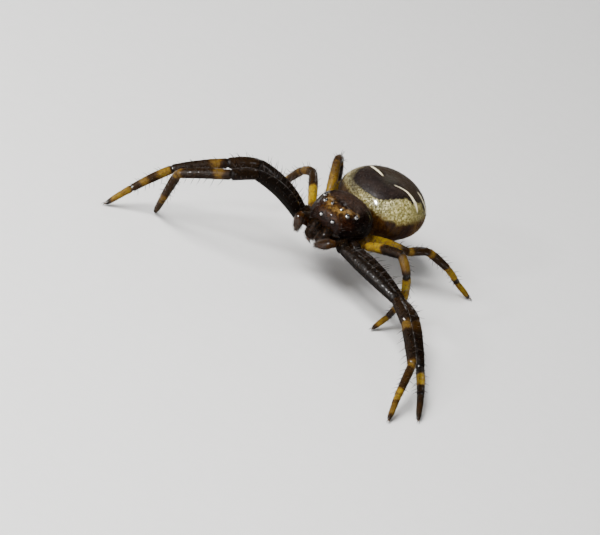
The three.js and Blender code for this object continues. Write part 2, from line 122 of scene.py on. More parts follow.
# The corners of every face between neighbouring rings, with the ring and the side that each starts at.
def tubeFaces(rows, cols):
    i, j = np.meshgrid(np.arange(rows - 1), np.arange(cols), indexing="ij")
    k = (j + 1) % cols
    quads = np.stack([i * cols + j, i * cols + k, (i + 1) * cols + k, (i + 1) * cols + j], -1).reshape(-1, 4)
    return quads, i, j


# A closed surface from rings of points: rings[i, j] is point j of ring i, and each end closes on a point of
# its own. The size is how long and how far round the surface is once it is unrolled.
def closedRings(rings, marks, material, size, ends):
    rows, cols = rings.shape[:2]
    points = np.vstack([rings.reshape(-1, 3), *ends])
    quads, i, j = tubeFaces(rows, cols)
    u0, u1, v0, v1 = i / (rows - 1), (i + 1) / (rows - 1), j / cols, (j + 1) / cols
    quadUv = np.stack([u0, v0, u0, v1, u1, v1, u1, v0], -1).reshape(-1, 4, 2)
    side = np.arange(cols)
    nextSide = (side + 1) % cols
    end = rows * cols
    tris = np.vstack([
        np.stack([np.full(cols, end), nextSide, side], -1),
        np.stack([np.full(cols, end + 1), (rows - 1) * cols + side, (rows - 1) * cols + nextSide], -1),
    ])
    here, there = side / cols, (side + 1) / cols
    middle, zero, one = (here + there) / 2, np.zeros(cols), np.ones(cols)
    triUv = np.vstack([
        np.stack([zero, middle, zero, there, zero, here], -1),
        np.stack([one, middle, one, here, one, there], -1),
    ]).reshape(-1, 3, 2)
    a, b, c, d = (points[quads[:, n]] for n in range(4))
    volume = (np.cross(a, b) * c).sum() + (np.cross(a, c) * d).sum()
    if volume < 0:  # so that every face points out
        quads, quadUv, tris, triUv = (values[:, ::-1] for values in (quads, quadUv, tris, triUv))
    allMarks = {}
    for name, values in marks.items():
        values = np.broadcast_to(values, (rows, cols)).reshape(-1)
        allMarks[name] = np.concatenate([values, [values[:cols].mean(), values[-cols:].mean()]])
    return dict(points=points, quads=quads, quadUv=quadUv, tris=tris, triUv=triUv, marks=allMarks,
                material=material, size=size, rows=rows, cols=cols, rings=rings)


# Lays the unrolled surfaces side by side in a square, in rows of like height, and scales its side to 1.
def packCharts(parts):
    spare = 1.02  # how much the square grows at each try
    order = sorted(parts, key=lambda part: -part["size"][1])
    width = np.sqrt(sum(part["size"][0] * part["size"][1] for part in parts)) * spare
    margin = width * 0.004
    while True:
        x = y = rowHeight = 0
        for part in order:
            length, girth = part["size"]
            if x + length + margin > width:
                x, y, rowHeight = 0, y + rowHeight, 0
            part["chart"] = np.array([x + margin / 2, y + margin / 2, length, girth])
            x += length + margin
            rowHeight = max(rowHeight, girth + margin)
        if y + rowHeight <= width:
            break
        width *= spare
    for part in parts:
        part["chart"] = part["chart"] / width


def onChart(part, uv):
    x, y, length, girth = part["chart"]
    return np.stack([x + uv[..., 0] * length, y + uv[..., 1] * girth], -1)


# One object from parts in millimetres: their points, faces, unwrap and marks are put end to end.
def makeObject(name, parts, materials):
    points, loops, starts, uvs, kinds = [], [], [], [], []
    marks = {key: [] for part in parts for key in part["marks"]}
    offset = loopCount = 0
    for part in parts:
        points.append(part["points"])
        for faces, uv in ((part["quads"], part["quadUv"]), (part["tris"], part["triUv"])):
            corners = faces.shape[1]
            loops.append((faces + offset).reshape(-1))
            starts.append(loopCount + corners * np.arange(len(faces)))
            loopCount += corners * len(faces)
            uvs.append((onChart(part, uv) if "chart" in part else uv).reshape(-1, 2))
            kinds.append(np.full(len(faces), part["material"]))
        for key, values in marks.items():
            values.append(part["marks"].get(key, np.zeros(len(part["points"]))))
        offset += len(part["points"])
    points = (np.vstack(points) + bodyMiddle) * mm
    loops, starts = np.concatenate(loops), np.concatenate(starts)
    mesh = bpy.data.meshes.new(name)
    mesh.vertices.add(len(points))
    mesh.vertices.foreach_set("co", points.astype(np.float32).reshape(-1))
    mesh.loops.add(len(loops))
    mesh.loops.foreach_set("vertex_index", loops.astype(np.int32))
    mesh.polygons.add(len(starts))
    mesh.polygons.foreach_set("loop_start", starts.astype(np.int32))
    mesh.polygons.foreach_set("material_index", np.concatenate(kinds).astype(np.int32))
    mesh.update(calc_edges=True)
    mesh.uv_layers.new(name="OFBake")
    mesh.uv_layers["OFBake"].uv.foreach_set("vector", np.vstack(uvs).astype(np.float32).reshape(-1))
    for key, values in marks.items():
        layer = mesh.attributes.new(key, "FLOAT", "POINT")
        layer.data.foreach_set("value", np.concatenate(values).astype(np.float32))
    mesh.polygons.foreach_set("use_smooth", np.ones(len(starts), bool))
    mesh.validate()
    for material in materials:
        mesh.materials.append(material)
    made = bpy.data.objects.new(name, mesh)
    bpy.context.scene.collection.objects.link(made)
    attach(made, "root")
    triangles = sum(len(part["quads"]) * 2 + len(part["tris"]) for part in parts)
    print(f"{name}: {triangles} triangles")
    return made


# Shader maths

# One socket of a material. Sums, products and the like of wires and numbers add Math nodes.
class Wire:
    def __init__(self, shader, socket):
        self.shader, self.socket = shader, socket

    def maths(self, operation, *values):
        return self.shader.node("ShaderNodeMath", {"operation": operation}, values)

    def __add__(self, other):
        return self.maths("ADD", self, other)

    def __radd__(self, other):
        return self.maths("ADD", other, self)

    def __sub__(self, other):
        return self.maths("SUBTRACT", self, other)

    def __rsub__(self, other):
        return self.maths("SUBTRACT", other, self)

    def __mul__(self, other):
        return self.maths("MULTIPLY", self, other)

    def __rmul__(self, other):
        return self.maths("MULTIPLY", other, self)

    def __truediv__(self, other):
        return self.maths("DIVIDE", self, other)

    def __rtruediv__(self, other):
        return self.maths("DIVIDE", other, self)

    def __abs__(self):
        return self.maths("ABSOLUTE", self)

    def rise(self, low, high):  # 0 at low, 1 at high, smooth between
        return self.shader.node("ShaderNodeMapRange", {"interpolation_type": "SMOOTHSTEP"},
                                {"Value": self, "From Min": low, "From Max": high})

    def bell(self, middle, width):  # 1 at the middle, 0 at the width on either side
        return 1 - abs(self - middle).rise(0, width)


# A material under construction. Names of sockets are written with _ for a space.
class Shader:
    def __init__(self, name, **constants):
        self.material = bpy.data.materials.new(name)
        self.material.use_nodes = True
        self.tree = self.material.node_tree
        self.surface = self.tree.nodes["Principled BSDF"]
        self.finish(**constants)
        self.material.diffuse_color = (0.2, 0.15, 0.1, 1)  # seen only in the viewport

    # Any node: its type, its settings, then the values or wires of its sockets by place or name.
    def node(self, kind, settings, sockets=(), output=0):
        made = self.tree.nodes.new(kind)
        for key, value in settings.items():
            if key == "stops":
                self.setStops(made.color_ramp, value)
            else:
                setattr(made, key, value)
        pairs = sockets.items() if isinstance(sockets, dict) else enumerate(sockets)
        for key, value in pairs:
            self.fill(made.inputs[key], value)
        return Wire(self, made.outputs[output])

    def fill(self, socket, value):
        if isinstance(value, Wire):
            self.tree.links.new(value.socket, socket)
        elif isinstance(value, (tuple, list)) and socket.type == "RGBA":
            socket.default_value = (*value, 1)
        else:
            socket.default_value = value

    def setStops(self, band, stops):
        while len(band.elements) < len(stops):
            band.elements.new(0.5)
        for element, (place, colour) in zip(band.elements, stops):
            element.position = place
            element.color = (*colour, 1)

    def vectorMaths(self, operation, sockets):
        return self.node("ShaderNodeVectorMath", {"operation": operation}, sockets)

    def place(self):  # Object coordinates in millimetres
        where = self.node("ShaderNodeTexCoord", {}, output="Object")
        return self.vectorMaths("SCALE", {0: where, "Scale": 1 / mm})

    def mark(self, name):
        return self.node("ShaderNodeAttribute", {"attribute_name": name}, output="Fac")

    def noise(self, where, scale, detail=3, roughness=0.5):
        return self.node("ShaderNodeTexNoise", {},
                         {"Vector": where, "Scale": scale, "Detail": detail, "Roughness": roughness})

    def cells(self, where, scale, feature="F1", output="Distance"):
        sockets = {"Vector": where, "Scale": scale}
        return self.node("ShaderNodeTexVoronoi", {"feature": feature}, sockets, output)

    def shake(self, where, scale, reach):  # moves each place a little its own way
        noise = self.node("ShaderNodeTexNoise", {}, {"Vector": where, "Scale": scale, "Detail": 2}, "Color")
        return self.vectorMaths("ADD", (where, self.vectorMaths("SCALE", {0: noise, "Scale": reach})))

    def stretch(self, where, factors):
        return self.vectorMaths("MULTIPLY", (where, factors))

    def ramp(self, wire, stops):
        return self.node("ShaderNodeValToRGB", {"stops": stops}, (wire,))

    def mix(self, share, first, second, kind="MIX"):
        return self.node("ShaderNodeMix", {"data_type": "RGBA", "blend_type": kind},
                         {0: share, 6: first, 7: second}, output=2)

    def tint(self, share, first, second):  # first multiplied by second, by that share
        return self.mix(share, first, second, "MULTIPLY")

    def bump(self, height, strength, distance):
        sockets = {"Height": height, "Strength": strength, "Distance": distance * mm}
        return self.node("ShaderNodeBump", {}, sockets)

    def finish(self, **sockets):
        for key, value in sockets.items():
            self.fill(self.surface.inputs[key.replace("_", " ")], value)
        return self.material


# Camera, light and floor

view = dict(
    azimuth=20.5, elevation=25.7, roll=27.5,  # degrees
    distance=150, pixelsPerMm=21.7, pictureWidth=600, sensorWidth=36,
    aimRight=-1.866, aimUp=-2.281,  # from the carapace's middle to the middle of the picture, mm
)


# Links a camera or a lamp that stands at a place in metres and looks against the back direction.
def linkFacing(made, right, back, place):
    turn = np.column_stack([right, np.cross(back, right), back, place])
    made.matrix_world = Matrix(np.vstack([turn, [0, 0, 0, 1]]).tolist())
    bpy.context.scene.collection.objects.link(made)


def addCamera():
    azimuth, elevation, roll = np.radians([view["azimuth"], view["elevation"], view["roll"]])
    out = np.array([np.sin(azimuth), -np.cos(azimuth), 0])
    right = np.array([np.cos(azimuth), np.sin(azimuth), 0])
    up = np.array([-out[0] * np.sin(elevation), -out[1] * np.sin(elevation), np.cos(elevation)])
    back = np.array([out[0] * np.cos(elevation), out[1] * np.cos(elevation), np.sin(elevation)])
    right, up = turned(right, up, -roll)
    aim = bodyMiddle + view["aimRight"] * right + view["aimUp"] * up
    place = bodyMiddle + view["distance"] * back
    back = unit(place - aim)
    right = unit(right - back * (right @ back))
    data = bpy.data.cameras.new("camera")
    data.lens = view["sensorWidth"] * view["distance"] * view["pixelsPerMm"] / view["pictureWidth"]
    data.sensor_width = view["sensorWidth"]
    data.clip_start, data.clip_end = 0.01, 10
    camera = bpy.data.objects.new("camera", data)
    linkFacing(camera, right, back, place * mm)
    bpy.context.scene.camera = camera


lights = dict(
    # from where, about the foot of the body in mm; size in mm; power in watts
    key=((-45, -80, 110), 70, 0.52),
    spark=((-36, -117, 47), 6, 2.4),
    fill=((95, -40, 60), 60, 0.03),
    rim=((-30, 95, 80), 50, 0.03),
    world=0.08, worldColour=(0.93, 0.95, 1),
)


def addLights():
    for name in ("key", "spark", "fill", "rim"):
        place, size, power = lights[name]
        data = bpy.data.lights.new(name, "AREA")
        data.size, data.energy = size * mm, power
        lamp = bpy.data.objects.new(name, data)
        where = np.array(place) * mm
        back = unit(where - np.array([0, 0, bodyHeight * mm]))
        linkFacing(lamp, unit(np.cross([0, 0, 1], back)), back, where)
        lamp.visible_glossy = name != "key"
        lamp.visible_diffuse = name != "spark"  # the small lamp makes the glints and no more
    world = bpy.data.worlds.new("studio")
    world.use_nodes = True
    background = world.node_tree.nodes["Background"]
    background.inputs["Color"].default_value = (*lights["worldColour"], 1)
    background.inputs["Strength"].default_value = lights["world"]
    bpy.context.scene.world = world


# half is half the width of the floor in metres
floorPaper = dict(half=0.6, dark=(0.76, 0.75, 0.73), light=(0.80, 0.79, 0.77), grain=1.5)


def addFloor():
    half = floorPaper["half"]
    mesh = bpy.data.meshes.new("floor")
    corners = [(-half, -half, 0), (half, -half, 0), (half, half, 0), (-half, half, 0)]
    mesh.from_pydata(corners, [], [(0, 1, 2, 3)])
    floor = bpy.data.objects.new("floor", mesh)
    s = Shader("floorPaper", Roughness=0.85)
    grain = s.noise(s.place(), floorPaper["grain"], 4)
    mesh.materials.append(s.finish(Base_Color=s.mix(grain, floorPaper["dark"], floorPaper["light"])))
    bpy.context.scene.collection.objects.link(floor)


# Legs

legs = dict(
    hips={1: (1.35, -1.4, -0.5), 2: (1.7, -0.6, -0.55), 3: (1.65, 0.3, -0.55), 4: (1.3, 1.1, -0.55)},
    lengths={1: (3.65, 1.5, 2.4, 2.05, 1.35), 2: (3.15, 1.5, 2.55, 2.05, 1.4),
             3: (2.2, 1.0, 1.4, 1.15, 1.0), 4: (2.3, 1.2, 1.65, 1.25, 1.1)},
    # degrees: pitch up from level for the femur to the metatarsus, heading forward from straight out for the
    # femur to the tarsus
    pose=dict(
        L1=((-2, -6, -17, -20), (9, 36, 42, 69, 65)),
        L2=((-14, 1, -21, -3), (0, 30, 42, 56, 53)),
        L3=((27, -41, -67, -46), (15, 8, -64, 91, 96)),
        L4=((-8, 7, -26, -38), (-54, -63, -55, -60, -46)),
        R1=((30, -2, -26, -67), (58, 70, 26, -57, -62)),
        R2=((28, -13, -27, -39), (39, 51, 42, 61, 65)),
        R3=((16, -29, -57, -45), (-51, -35, -28, -88, -94)),
        R4=((49, -20, -59, -71), (-48, -74, -96, -96, -96)),
    ),
    # how far the middle of a piece bows up: each leg's femur, then the other pieces
    femurBows=dict(L1=0.06, L2=0.1, L3=0.06, L4=0.06, R1=0.24, R2=0.16, R3=0.06, R4=0.06),
    bows={"front": (0.05, 0.04, 0.05, 0.03), "hind": (0.05, 0.03, 0.03, 0.03)},
    # radii of the coxa, femur, patella, tibia, metatarsus and tarsus at even steps, mm
    radii={
        "front": ((0.30, 0.32, 0.29), (0.24, 0.29, 0.325, 0.33, 0.32, 0.29, 0.25), (0.24, 0.275, 0.28, 0.25),
                  (0.225, 0.245, 0.245, 0.235, 0.21), (0.19, 0.205, 0.2, 0.185, 0.175),
                  (0.165, 0.155, 0.145, 0.13, 0.08)),
        "hind": ((0.27, 0.3, 0.25), (0.19, 0.215, 0.23, 0.235, 0.225, 0.2), (0.19, 0.21, 0.205, 0.185),
                 (0.18, 0.195, 0.195, 0.18, 0.17), (0.15, 0.155, 0.15, 0.14),
                 (0.13, 0.135, 0.13, 0.115, 0.075)),
    },
    coxaRoot=0.45,  # how far out a leg starts inside the body, as a share of the hip's distance
    tipHeight=0.08, rounding=0.1, sides=28, ringsPerMm={"front": 15, "hind": 17}, crowding=0.62,
    # the groove of soft skin at a joint, in mm and shares of the radius, and the lips beside it
    grooveWidth=0.055, grooveDepth=0.10, grooveUnder=0.14, lipAway=0.13, lipWidth=0.06, lipHeight=0.02,
    tallness=0.04, tipReach=0.09, rootReach=0.2, floorGap=0.004,
    # how pale each leg is at stations along it (1 to 2 the femur, 2 to 3 the patella and so on), from
    # 0, black, by 1, brown, and 2, olive, to 3, yellow
    bands=dict(
        L1=[(0, 0.4), (1, 0.1), (1.95, 0.0), (2.1, 0.3), (2.8, 0.3), (2.93, 0.1), (3.02, 1.7), (3.17, 1.7),
            (3.24, 0.2), (3.86, 0.2), (3.95, 1.8), (4.1, 2.0), (4.19, 1.0), (4.58, 0.9), (4.7, 0.5),
            (4.78, 0.8), (4.87, 2.5), (5.18, 2.5), (5.27, 0.9), (5.4, 1.7), (5.78, 1.8), (5.9, 0.3)],
        L2=[(0, 0.4), (1, 0.1), (1.95, 0.0), (2.1, 0.3), (2.8, 0.3), (2.95, 0.1), (3.03, 1.0), (3.19, 1.0),
            (3.26, 0.1), (4.27, 0.1), (4.35, 2.5), (4.68, 2.5), (4.76, 0.2), (5.35, 0.3), (5.45, 0.8),
            (5.75, 0.6), (6, 0.1)],
        R1=[(0, 0.4), (1, 0.1), (1.95, 0.0), (2.1, 0.3), (2.9, 0.2), (3.08, 0.4), (3.16, 1.7), (3.28, 1.7),
            (3.36, 0.3), (3.86, 0.4), (3.95, 1.9), (4.06, 2.0), (4.15, 0.8), (4.78, 0.7), (4.9, 1.8),
            (5.1, 1.9), (5.2, 0.9), (5.5, 0.8), (5.75, 1.2), (5.9, 0.3)],
        R2=[(0, 0.4), (1, 0.1), (1.95, 0.0), (2.1, 0.4), (2.9, 0.4), (3.08, 0.3), (3.15, 1.8), (3.27, 1.7),
            (3.36, 0.3), (4.01, 0.2), (4.09, 2.3), (4.33, 2.3), (4.42, 0.8), (4.55, 0.8), (4.62, 2.0),
            (4.75, 2.0), (4.84, 0.7), (5.03, 0.9), (5.12, 2.3), (5.74, 2.3), (5.87, 0.2)],
        L3=[(0, 1.4), (0.9, 1.9), (1.1, 2.8), (1.48, 2.8), (1.56, 0.4), (1.93, 0.4), (2.05, 1.3),
            (2.3, 1.9), (2.7, 1.9), (2.86, 1.1), (2.96, 0.1), (3.04, 0.1), (3.1, 2.9), (3.9, 2.8),
            (4.65, 2.5), (4.75, 0.6), (5.0, 0.6), (5.1, 2.3), (5.72, 2.2), (5.88, 0.3)],
        R3=[(0, 1.2), (0.9, 1.6), (1.1, 2.9), (1.5, 2.9), (1.57, 0.6), (2.25, 0.7), (2.35, 1.6),
            (2.85, 1.8), (3.0, 1.2), (3.1, 1.7), (3.2, 0.9), (3.7, 1.0), (3.8, 2.5), (4.62, 2.4),
            (4.72, 0.6), (5.0, 0.6), (5.1, 2.3), (5.72, 2.2), (5.88, 0.3)],
        L4=[(0, 1.4), (0.9, 2.0), (1.1, 2.7), (1.72, 2.6), (1.8, 0.7), (1.95, 0.5), (2.03, 2.1),
            (2.2, 2.0), (2.3, 0.6), (2.97, 0.6), (3.05, 2.2), (3.15, 2.2), (3.24, 0.8), (3.84, 0.6),
            (3.92, 2.7), (4.6, 2.7), (4.7, 0.4), (4.86, 0.4), (4.94, 2.6), (5.75, 2.5), (5.88, 0.3)],
        R4=[(0, 1.2), (0.9, 1.5), (1.1, 2.3), (1.55, 2.4), (1.7, 1.8), (1.92, 1.4), (2.03, 1.1),
            (2.9, 1.0), (3.05, 2.0), (3.15, 2.0), (3.24, 0.8), (3.84, 0.6), (3.92, 2.7), (4.6, 2.7),
            (4.7, 0.4), (4.86, 0.4), (4.94, 2.6), (5.75, 2.5), (5.88, 0.3)],
    ),
)
pairOf = {name: int(name[1]) for name in legs["pose"]}
buildOf = {name: "front" if pair < 3 else "hind" for name, pair in pairOf.items()}


# The way that a piece points, with side 1 on the left and -1 on the right.
def heading(side, pitch, turn):
    p, h = np.radians(pitch), np.radians(turn)
    return np.array([side * np.cos(h) * np.cos(p), -np.sin(h) * np.cos(p), np.sin(p)])


# The joints of a leg from inside the body to the foot: each piece is its length along its own heading,
# and the last slopes down to the floor.
def legJoints(name):
    side = 1 if name[0] == "L" else -1
    pitches, turns = legs["pose"][name]
    hip = np.array(legs["hips"][pairOf[name]]) * [side, 1, 1]
    joints = [hip * [legs["coxaRoot"], legs["coxaRoot"], 1], hip]
    lengths = legs["lengths"][pairOf[name]]
    for pitch, turn, length in zip(pitches, turns, lengths):
        joints.append(joints[-1] + length * heading(side, pitch, turn))
    drop = joints[-1][2] + bodyHeight - legs["tipHeight"]
    slope = -np.degrees(np.arcsin(drop / lengths[-1]))
    joints.append(joints[-1] + lengths[-1] * heading(side, slope, turns[-1]))
    return np.array(joints)


# Directions square to a path, carried along it without twisting.
def carriedFrames(path, start):
    ahead = unit(np.gradient(path, axis=0))
    up = start
    ups = []
    for way in ahead:
        up = up - way * (up @ way)
        up = up / np.linalg.norm(up)
        ups.append(up)
    ups = np.array(ups)
    return ahead, ups, np.cross(ahead, ups)


# Each point of a path becomes the mean of its neighbours, weighted by a bell over the distance along it that
# narrows to nothing at the ends.
def smoothPath(path, width):
    along = walkedAlong(path)
    near = np.minimum(along, along[-1] - along)
    widths = np.minimum(width, near / 2.5 + 1e-4)[:, None]
    step = np.gradient(along)[None, :]
    weights = np.exp(-((along[None, :] - along[:, None]) / widths) ** 2 / 2) * step
    return (weights / weights.sum(1, keepdims=True)) @ path, along


# The station of each ring (0 to 1 the coxa, 1 to 2 the femur and so on), closer together at the joints.
def stationsOf(lengths, ringsPerMm):
    stations = []
    for i, length in enumerate(lengths):
        count = max(8, int(length * ringsPerMm))
        t = np.arange(count) / count
        stations.append(i + t - legs["crowding"] * np.sin(2 * np.pi * t) / (2 * np.pi))
    stations.append([len(lengths)])
    return np.concatenate(stations)


# A leg is a tube round its joints' path. Its radius follows the sizes of each piece, dips into a groove of
# soft skin at each joint, deeper underneath, and swells a little on both sides of the groove.
def legTube(name):
    build = buildOf[name]
    side = 1 if name[0] == "L" else -1
    joints = legJoints(name)
    lengths = np.linalg.norm(np.diff(joints, axis=0), axis=1)
    stations = stationsOf(lengths, legs["ringsPerMm"][build])
    piece = np.minimum(stations.astype(int), len(lengths) - 1)
    share = stations - piece
    along = unit(np.diff(joints, axis=0))
    rise = unit(np.array([0, 0, 1.0]) - along * along[:, 2:])
    bow = np.array([0, legs["femurBows"][name], *legs["bows"][build]])[piece] * 4 * share * (1 - share)
    path = joints[piece] + (joints[piece + 1] - joints[piece]) * share[:, None] + rise[piece] * bow[:, None]
    path, walked = smoothPath(path, legs["rounding"])
    ahead, up, across = carriedFrames(path, rise[1])
    radius = np.choose(piece, [curveThrough(sizes, share) for sizes in legs["radii"][build]])
    jointAt = np.interp(np.arange(1, len(lengths)), stations, walked)
    offset = np.abs(walked[:, None] - jointAt[None, :])
    groove = bell(offset, legs["grooveWidth"]).max(1)[:, None]
    lip = bell(offset - legs["lipAway"], legs["lipWidth"]).max(1)[:, None]
    angle = anglesRound(legs["sides"], -np.pi)  # the seam runs underneath
    height = np.cos(angle)
    depth = groove * (legs["grooveDepth"] + legs["grooveUnder"] * np.maximum(0, -height))
    size = radius[:, None] * (1 - depth + legs["lipHeight"] * lip)
    size = size * (1 + legs["tallness"] * np.cos(2 * angle))
    for distance, reach in ((walked[-1] - walked, legs["tipReach"]), (walked, legs["rootReach"])):
        size = size * roundedEnd(distance, reach, 0.02)[:, None]
    out = up[:, None] * height[None, :, None] + across[:, None] * (side * np.sin(angle))[None, :, None]
    rings = path[:, None] + out * size[..., None]
    rings[..., 2] = np.maximum(rings[..., 2], legs["floorGap"] - bodyHeight)
    # the edges of the bands run a little askew round the leg
    places, tones = zip(*legs["bands"][name])
    askew = stations[:, None] + 0.02 * np.sin(angle + 9 * stations[:, None])
    askew = askew + 0.012 * np.sin(3 * angle - 14 * stations[:, None])
    marks = dict(tone=np.interp(askew, places, tones), upside=height, groove=groove)
    material = 0 if build == "front" else 1
    part = closedRings(rings, marks, material, (walked[-1], 2 * np.pi * radius.mean()), (path[0], path[-1]))
    part.update(name=name, out=out, ahead=ahead, stations=stations)
    return part


# The front half of the body

carapace = dict(
    # [how far back, half width, top, underside]
    stations=[[-1.58, 0.42, 0.42, -0.02], [-1.48, 0.8, 0.7, -0.3], [-1.15, 0.99, 0.9, -0.58],
              [-0.6, 1.27, 1.03, -0.74], [0.1, 1.44, 1.08, -0.8], [0.75, 1.3, 0.98, -0.78],
              [1.2, 0.95, 0.7, -0.66], [1.44, 0.56, 0.3, -0.46]],
    front=(0, -1.62, 0.2), back=(0, 1.5, -0.1), squareness=2.3, rings=140, sides=178, unrolled=(4.6, 8.0),
    # how deep the grooves beside the head, the pit and the furrows to the hips are, and the furrows' ways
    grooveDepth=0.022, pitDepth=0.03, furrowDepth=0.012, furrowAngles=[62, 92, 124, 150],
    rimHeight=0.035, underRim=0.05,
    # bumps under the eyes, left side: place, how high, how wide
    tubercles=[((0.61, -0.95, 0.84), 0.10, 0.18), ((0.90, -0.62, 0.84), 0.11, 0.18),
               ((0.33, -1.57, 0.40), 0.03, 0.13), ((0.24, -1.06, 0.92), 0.03, 0.1)],
    # pale flecks: place and width
    flecks=[((0.56, -0.86, 0.95), 0.24), ((0.92, -0.48, 0.90), 0.19), ((0.26, -0.65, 1.03), 0.05),
            ((0.52, -0.32, 1.02), 0.06), ((0.24, -0.92, 0.98), 0.09)],
    # the gold field follows this line out from the middle, and is this wide on either side of it
    gold=[(0.0, -1.26, 0.84), (0.22, -1.22, 0.85), (0.48, -1.0, 0.9), (0.62, -0.8, 0.93)], goldWidth=0.27,
)


# The carapace and breastplate: rounded sections along the body, each half an almost-ellipse whose
# half width, top and underside follow smooth curves from the face to the waist.
def carapaceBase(share, angle):
    y, halfWidth, top, under = (curveThrough([s[k] for s in carapace["stations"]], share) for k in range(4))
    power = 2 / carapace["squareness"]
    across = np.sign(np.cos(angle)) * np.abs(np.cos(angle)) ** power
    upward = np.sign(np.sin(angle)) * np.abs(np.sin(angle)) ** power
    height = np.where(np.sin(angle) > 0, top, -under)
    return np.stack([halfWidth * across, y + 0 * across, height * upward], -1)


# The base moved in and out along its own direction: grooves, a pit and furrows sink it, and the rim and the
# bumps under the eyes raise it.
def prosomaPart():
    c = carapace
    share = np.linspace(0, 1, c["rings"])
    share = (share - 0.12 * np.sin(2 * np.pi * share) / (2 * np.pi))[:, None]  # closer together at the ends
    p = carapaceBase(share, anglesRound(c["sides"], -np.pi / 2)[None, :])
    x, y, z = p[..., 0], p[..., 1], p[..., 2]
    du = np.gradient(p, axis=0)
    dv = np.roll(p, -1, 1) - np.roll(p, 1, 1)
    normal = unit(np.cross(dv, du))
    normal = normal * np.sign(dot(normal, p * [1, 0.35, 1]).mean())
    lift = np.zeros_like(x)
    # two grooves part the head from the chest, and a pit lies between them at the back
    headEdge = np.abs(x) - (0.25 + 0.75 * ramp(-y, -0.35, 1.0))
    inGroove = ramp(z, 0.3, 0.6) * ramp(y, -0.9, -0.3) * (1 - ramp(y, 0.25, 0.5))
    lift -= c["grooveDepth"] * bell(headEdge, 0.13) * inGroove
    lift -= c["pitDepth"] * bell(x, 0.08) * bell(y - 0.55, 0.22) * (z > 0)
    # shallow furrows run out from the pit to the hips
    spoke = np.arctan2(np.abs(x), 0.45 - y)
    furrows = sum(bell(spoke - angle, 0.12) for angle in np.radians(c["furrowAngles"]))
    furrows = furrows * ramp(np.hypot(x, y - 0.45), 0.3, 0.7)
    lift -= c["furrowDepth"] * furrows * ramp(z, -0.1, 0.2)
    # the carapace overhangs its sides with a thin rolled rim
    lift += c["rimHeight"] * bell(z + 0.02, 0.05) * ramp(y, -1.5, -1.2)
    lift -= c["underRim"] * bell(z + 0.16, 0.07) * ramp(y, -1.4, -1.0)
    for centre, high, wide in c["tubercles"]:
        for side in (1, -1):
            lift += high * bell(np.linalg.norm(p - np.array(centre) * [side, 1, 1], axis=-1), wide)
    p = p + normal * lift[..., None]
    # the face turns in under its edge, where the jaws hang
    under = 1 - ramp(p[..., 2], -0.2, -0.08)
    inward = np.maximum(p[..., 1], -1.14 + 0.02 * p[..., 2]) - p[..., 1]
    p[..., 1] += inward * under * (1 - ramp(np.abs(x), 0.85, 1.1))
    mirrored = p.copy()
    mirrored[..., 0] = np.abs(mirrored[..., 0])

    # 1 at a place on either side of the body, falling off over the width
    def near(place, width, scale=1):
        return bell(np.linalg.norm((mirrored - np.array(place)) * scale, axis=-1), width)

    fleck = np.max([near(place, width) for place, width in c["flecks"]], 0)
    goldLine = curveThrough(c["gold"], np.linspace(0, 1, 12))
    gold = np.max([near(place, c["goldWidth"], [1, 0.8, 1]) for place in goldLine], 0)
    socket = np.max([near(place, radius * 1.35) for place, radius, way in eyes.values()], 0)
    marks = dict(back=y, high=z, out=np.abs(x), fleck=fleck, gold=gold, socket=socket, furrow=furrows)
    part = closedRings(p, marks, 2, c["unrolled"], np.array([c["front"], c["back"]]))
    part.update(name="prosoma", normal=normal)
    return part


# A round limb through given points: a smooth path, a radius that follows the sizes and dips at the grooves,
# ends rounded over the cap (in radii), and a section flattened by the squash.
def limbPart(name, through, sizes, material, rings, sides, cap=(1, 1), squash=1.0, start=(0, 0, 1),
             grooves=()):
    t = np.linspace(0, 1, rings)
    t = t - 0.5 * np.sin(2 * np.pi * t) / (2 * np.pi)  # closer together at the ends
    path = curveThrough(through, t)
    ahead, up, across = carriedFrames(path, np.array(start, float))
    walked = walkedAlong(path)
    dip = sum(bell(t - place, 0.018) for place in grooves)
    radius = curveThrough(sizes, t) * (1 - 0.16 * dip)
    for distance, reach in ((walked, cap[0] * sizes[0]), (walked[-1] - walked, cap[1] * sizes[-1])):
        if reach > 0:
            radius = radius * roundedEnd(distance, reach, 0.01)
    angle = anglesRound(sides, -np.pi)
    upward = up[:, None] * np.cos(angle)[None, :, None]
    sideways = across[:, None] * np.sin(angle)[None, :, None]
    shape = path[:, None] + radius[:, None, None] * (upward * squash + sideways)
    marks = dict(station=t[:, None], upside=np.cos(angle))
    part = closedRings(shape, marks, material, (walked[-1], 2 * np.pi * radius.mean()), (path[0], path[-1]))
    part.update(name=name, out=upward + sideways, ahead=ahead)
    return part


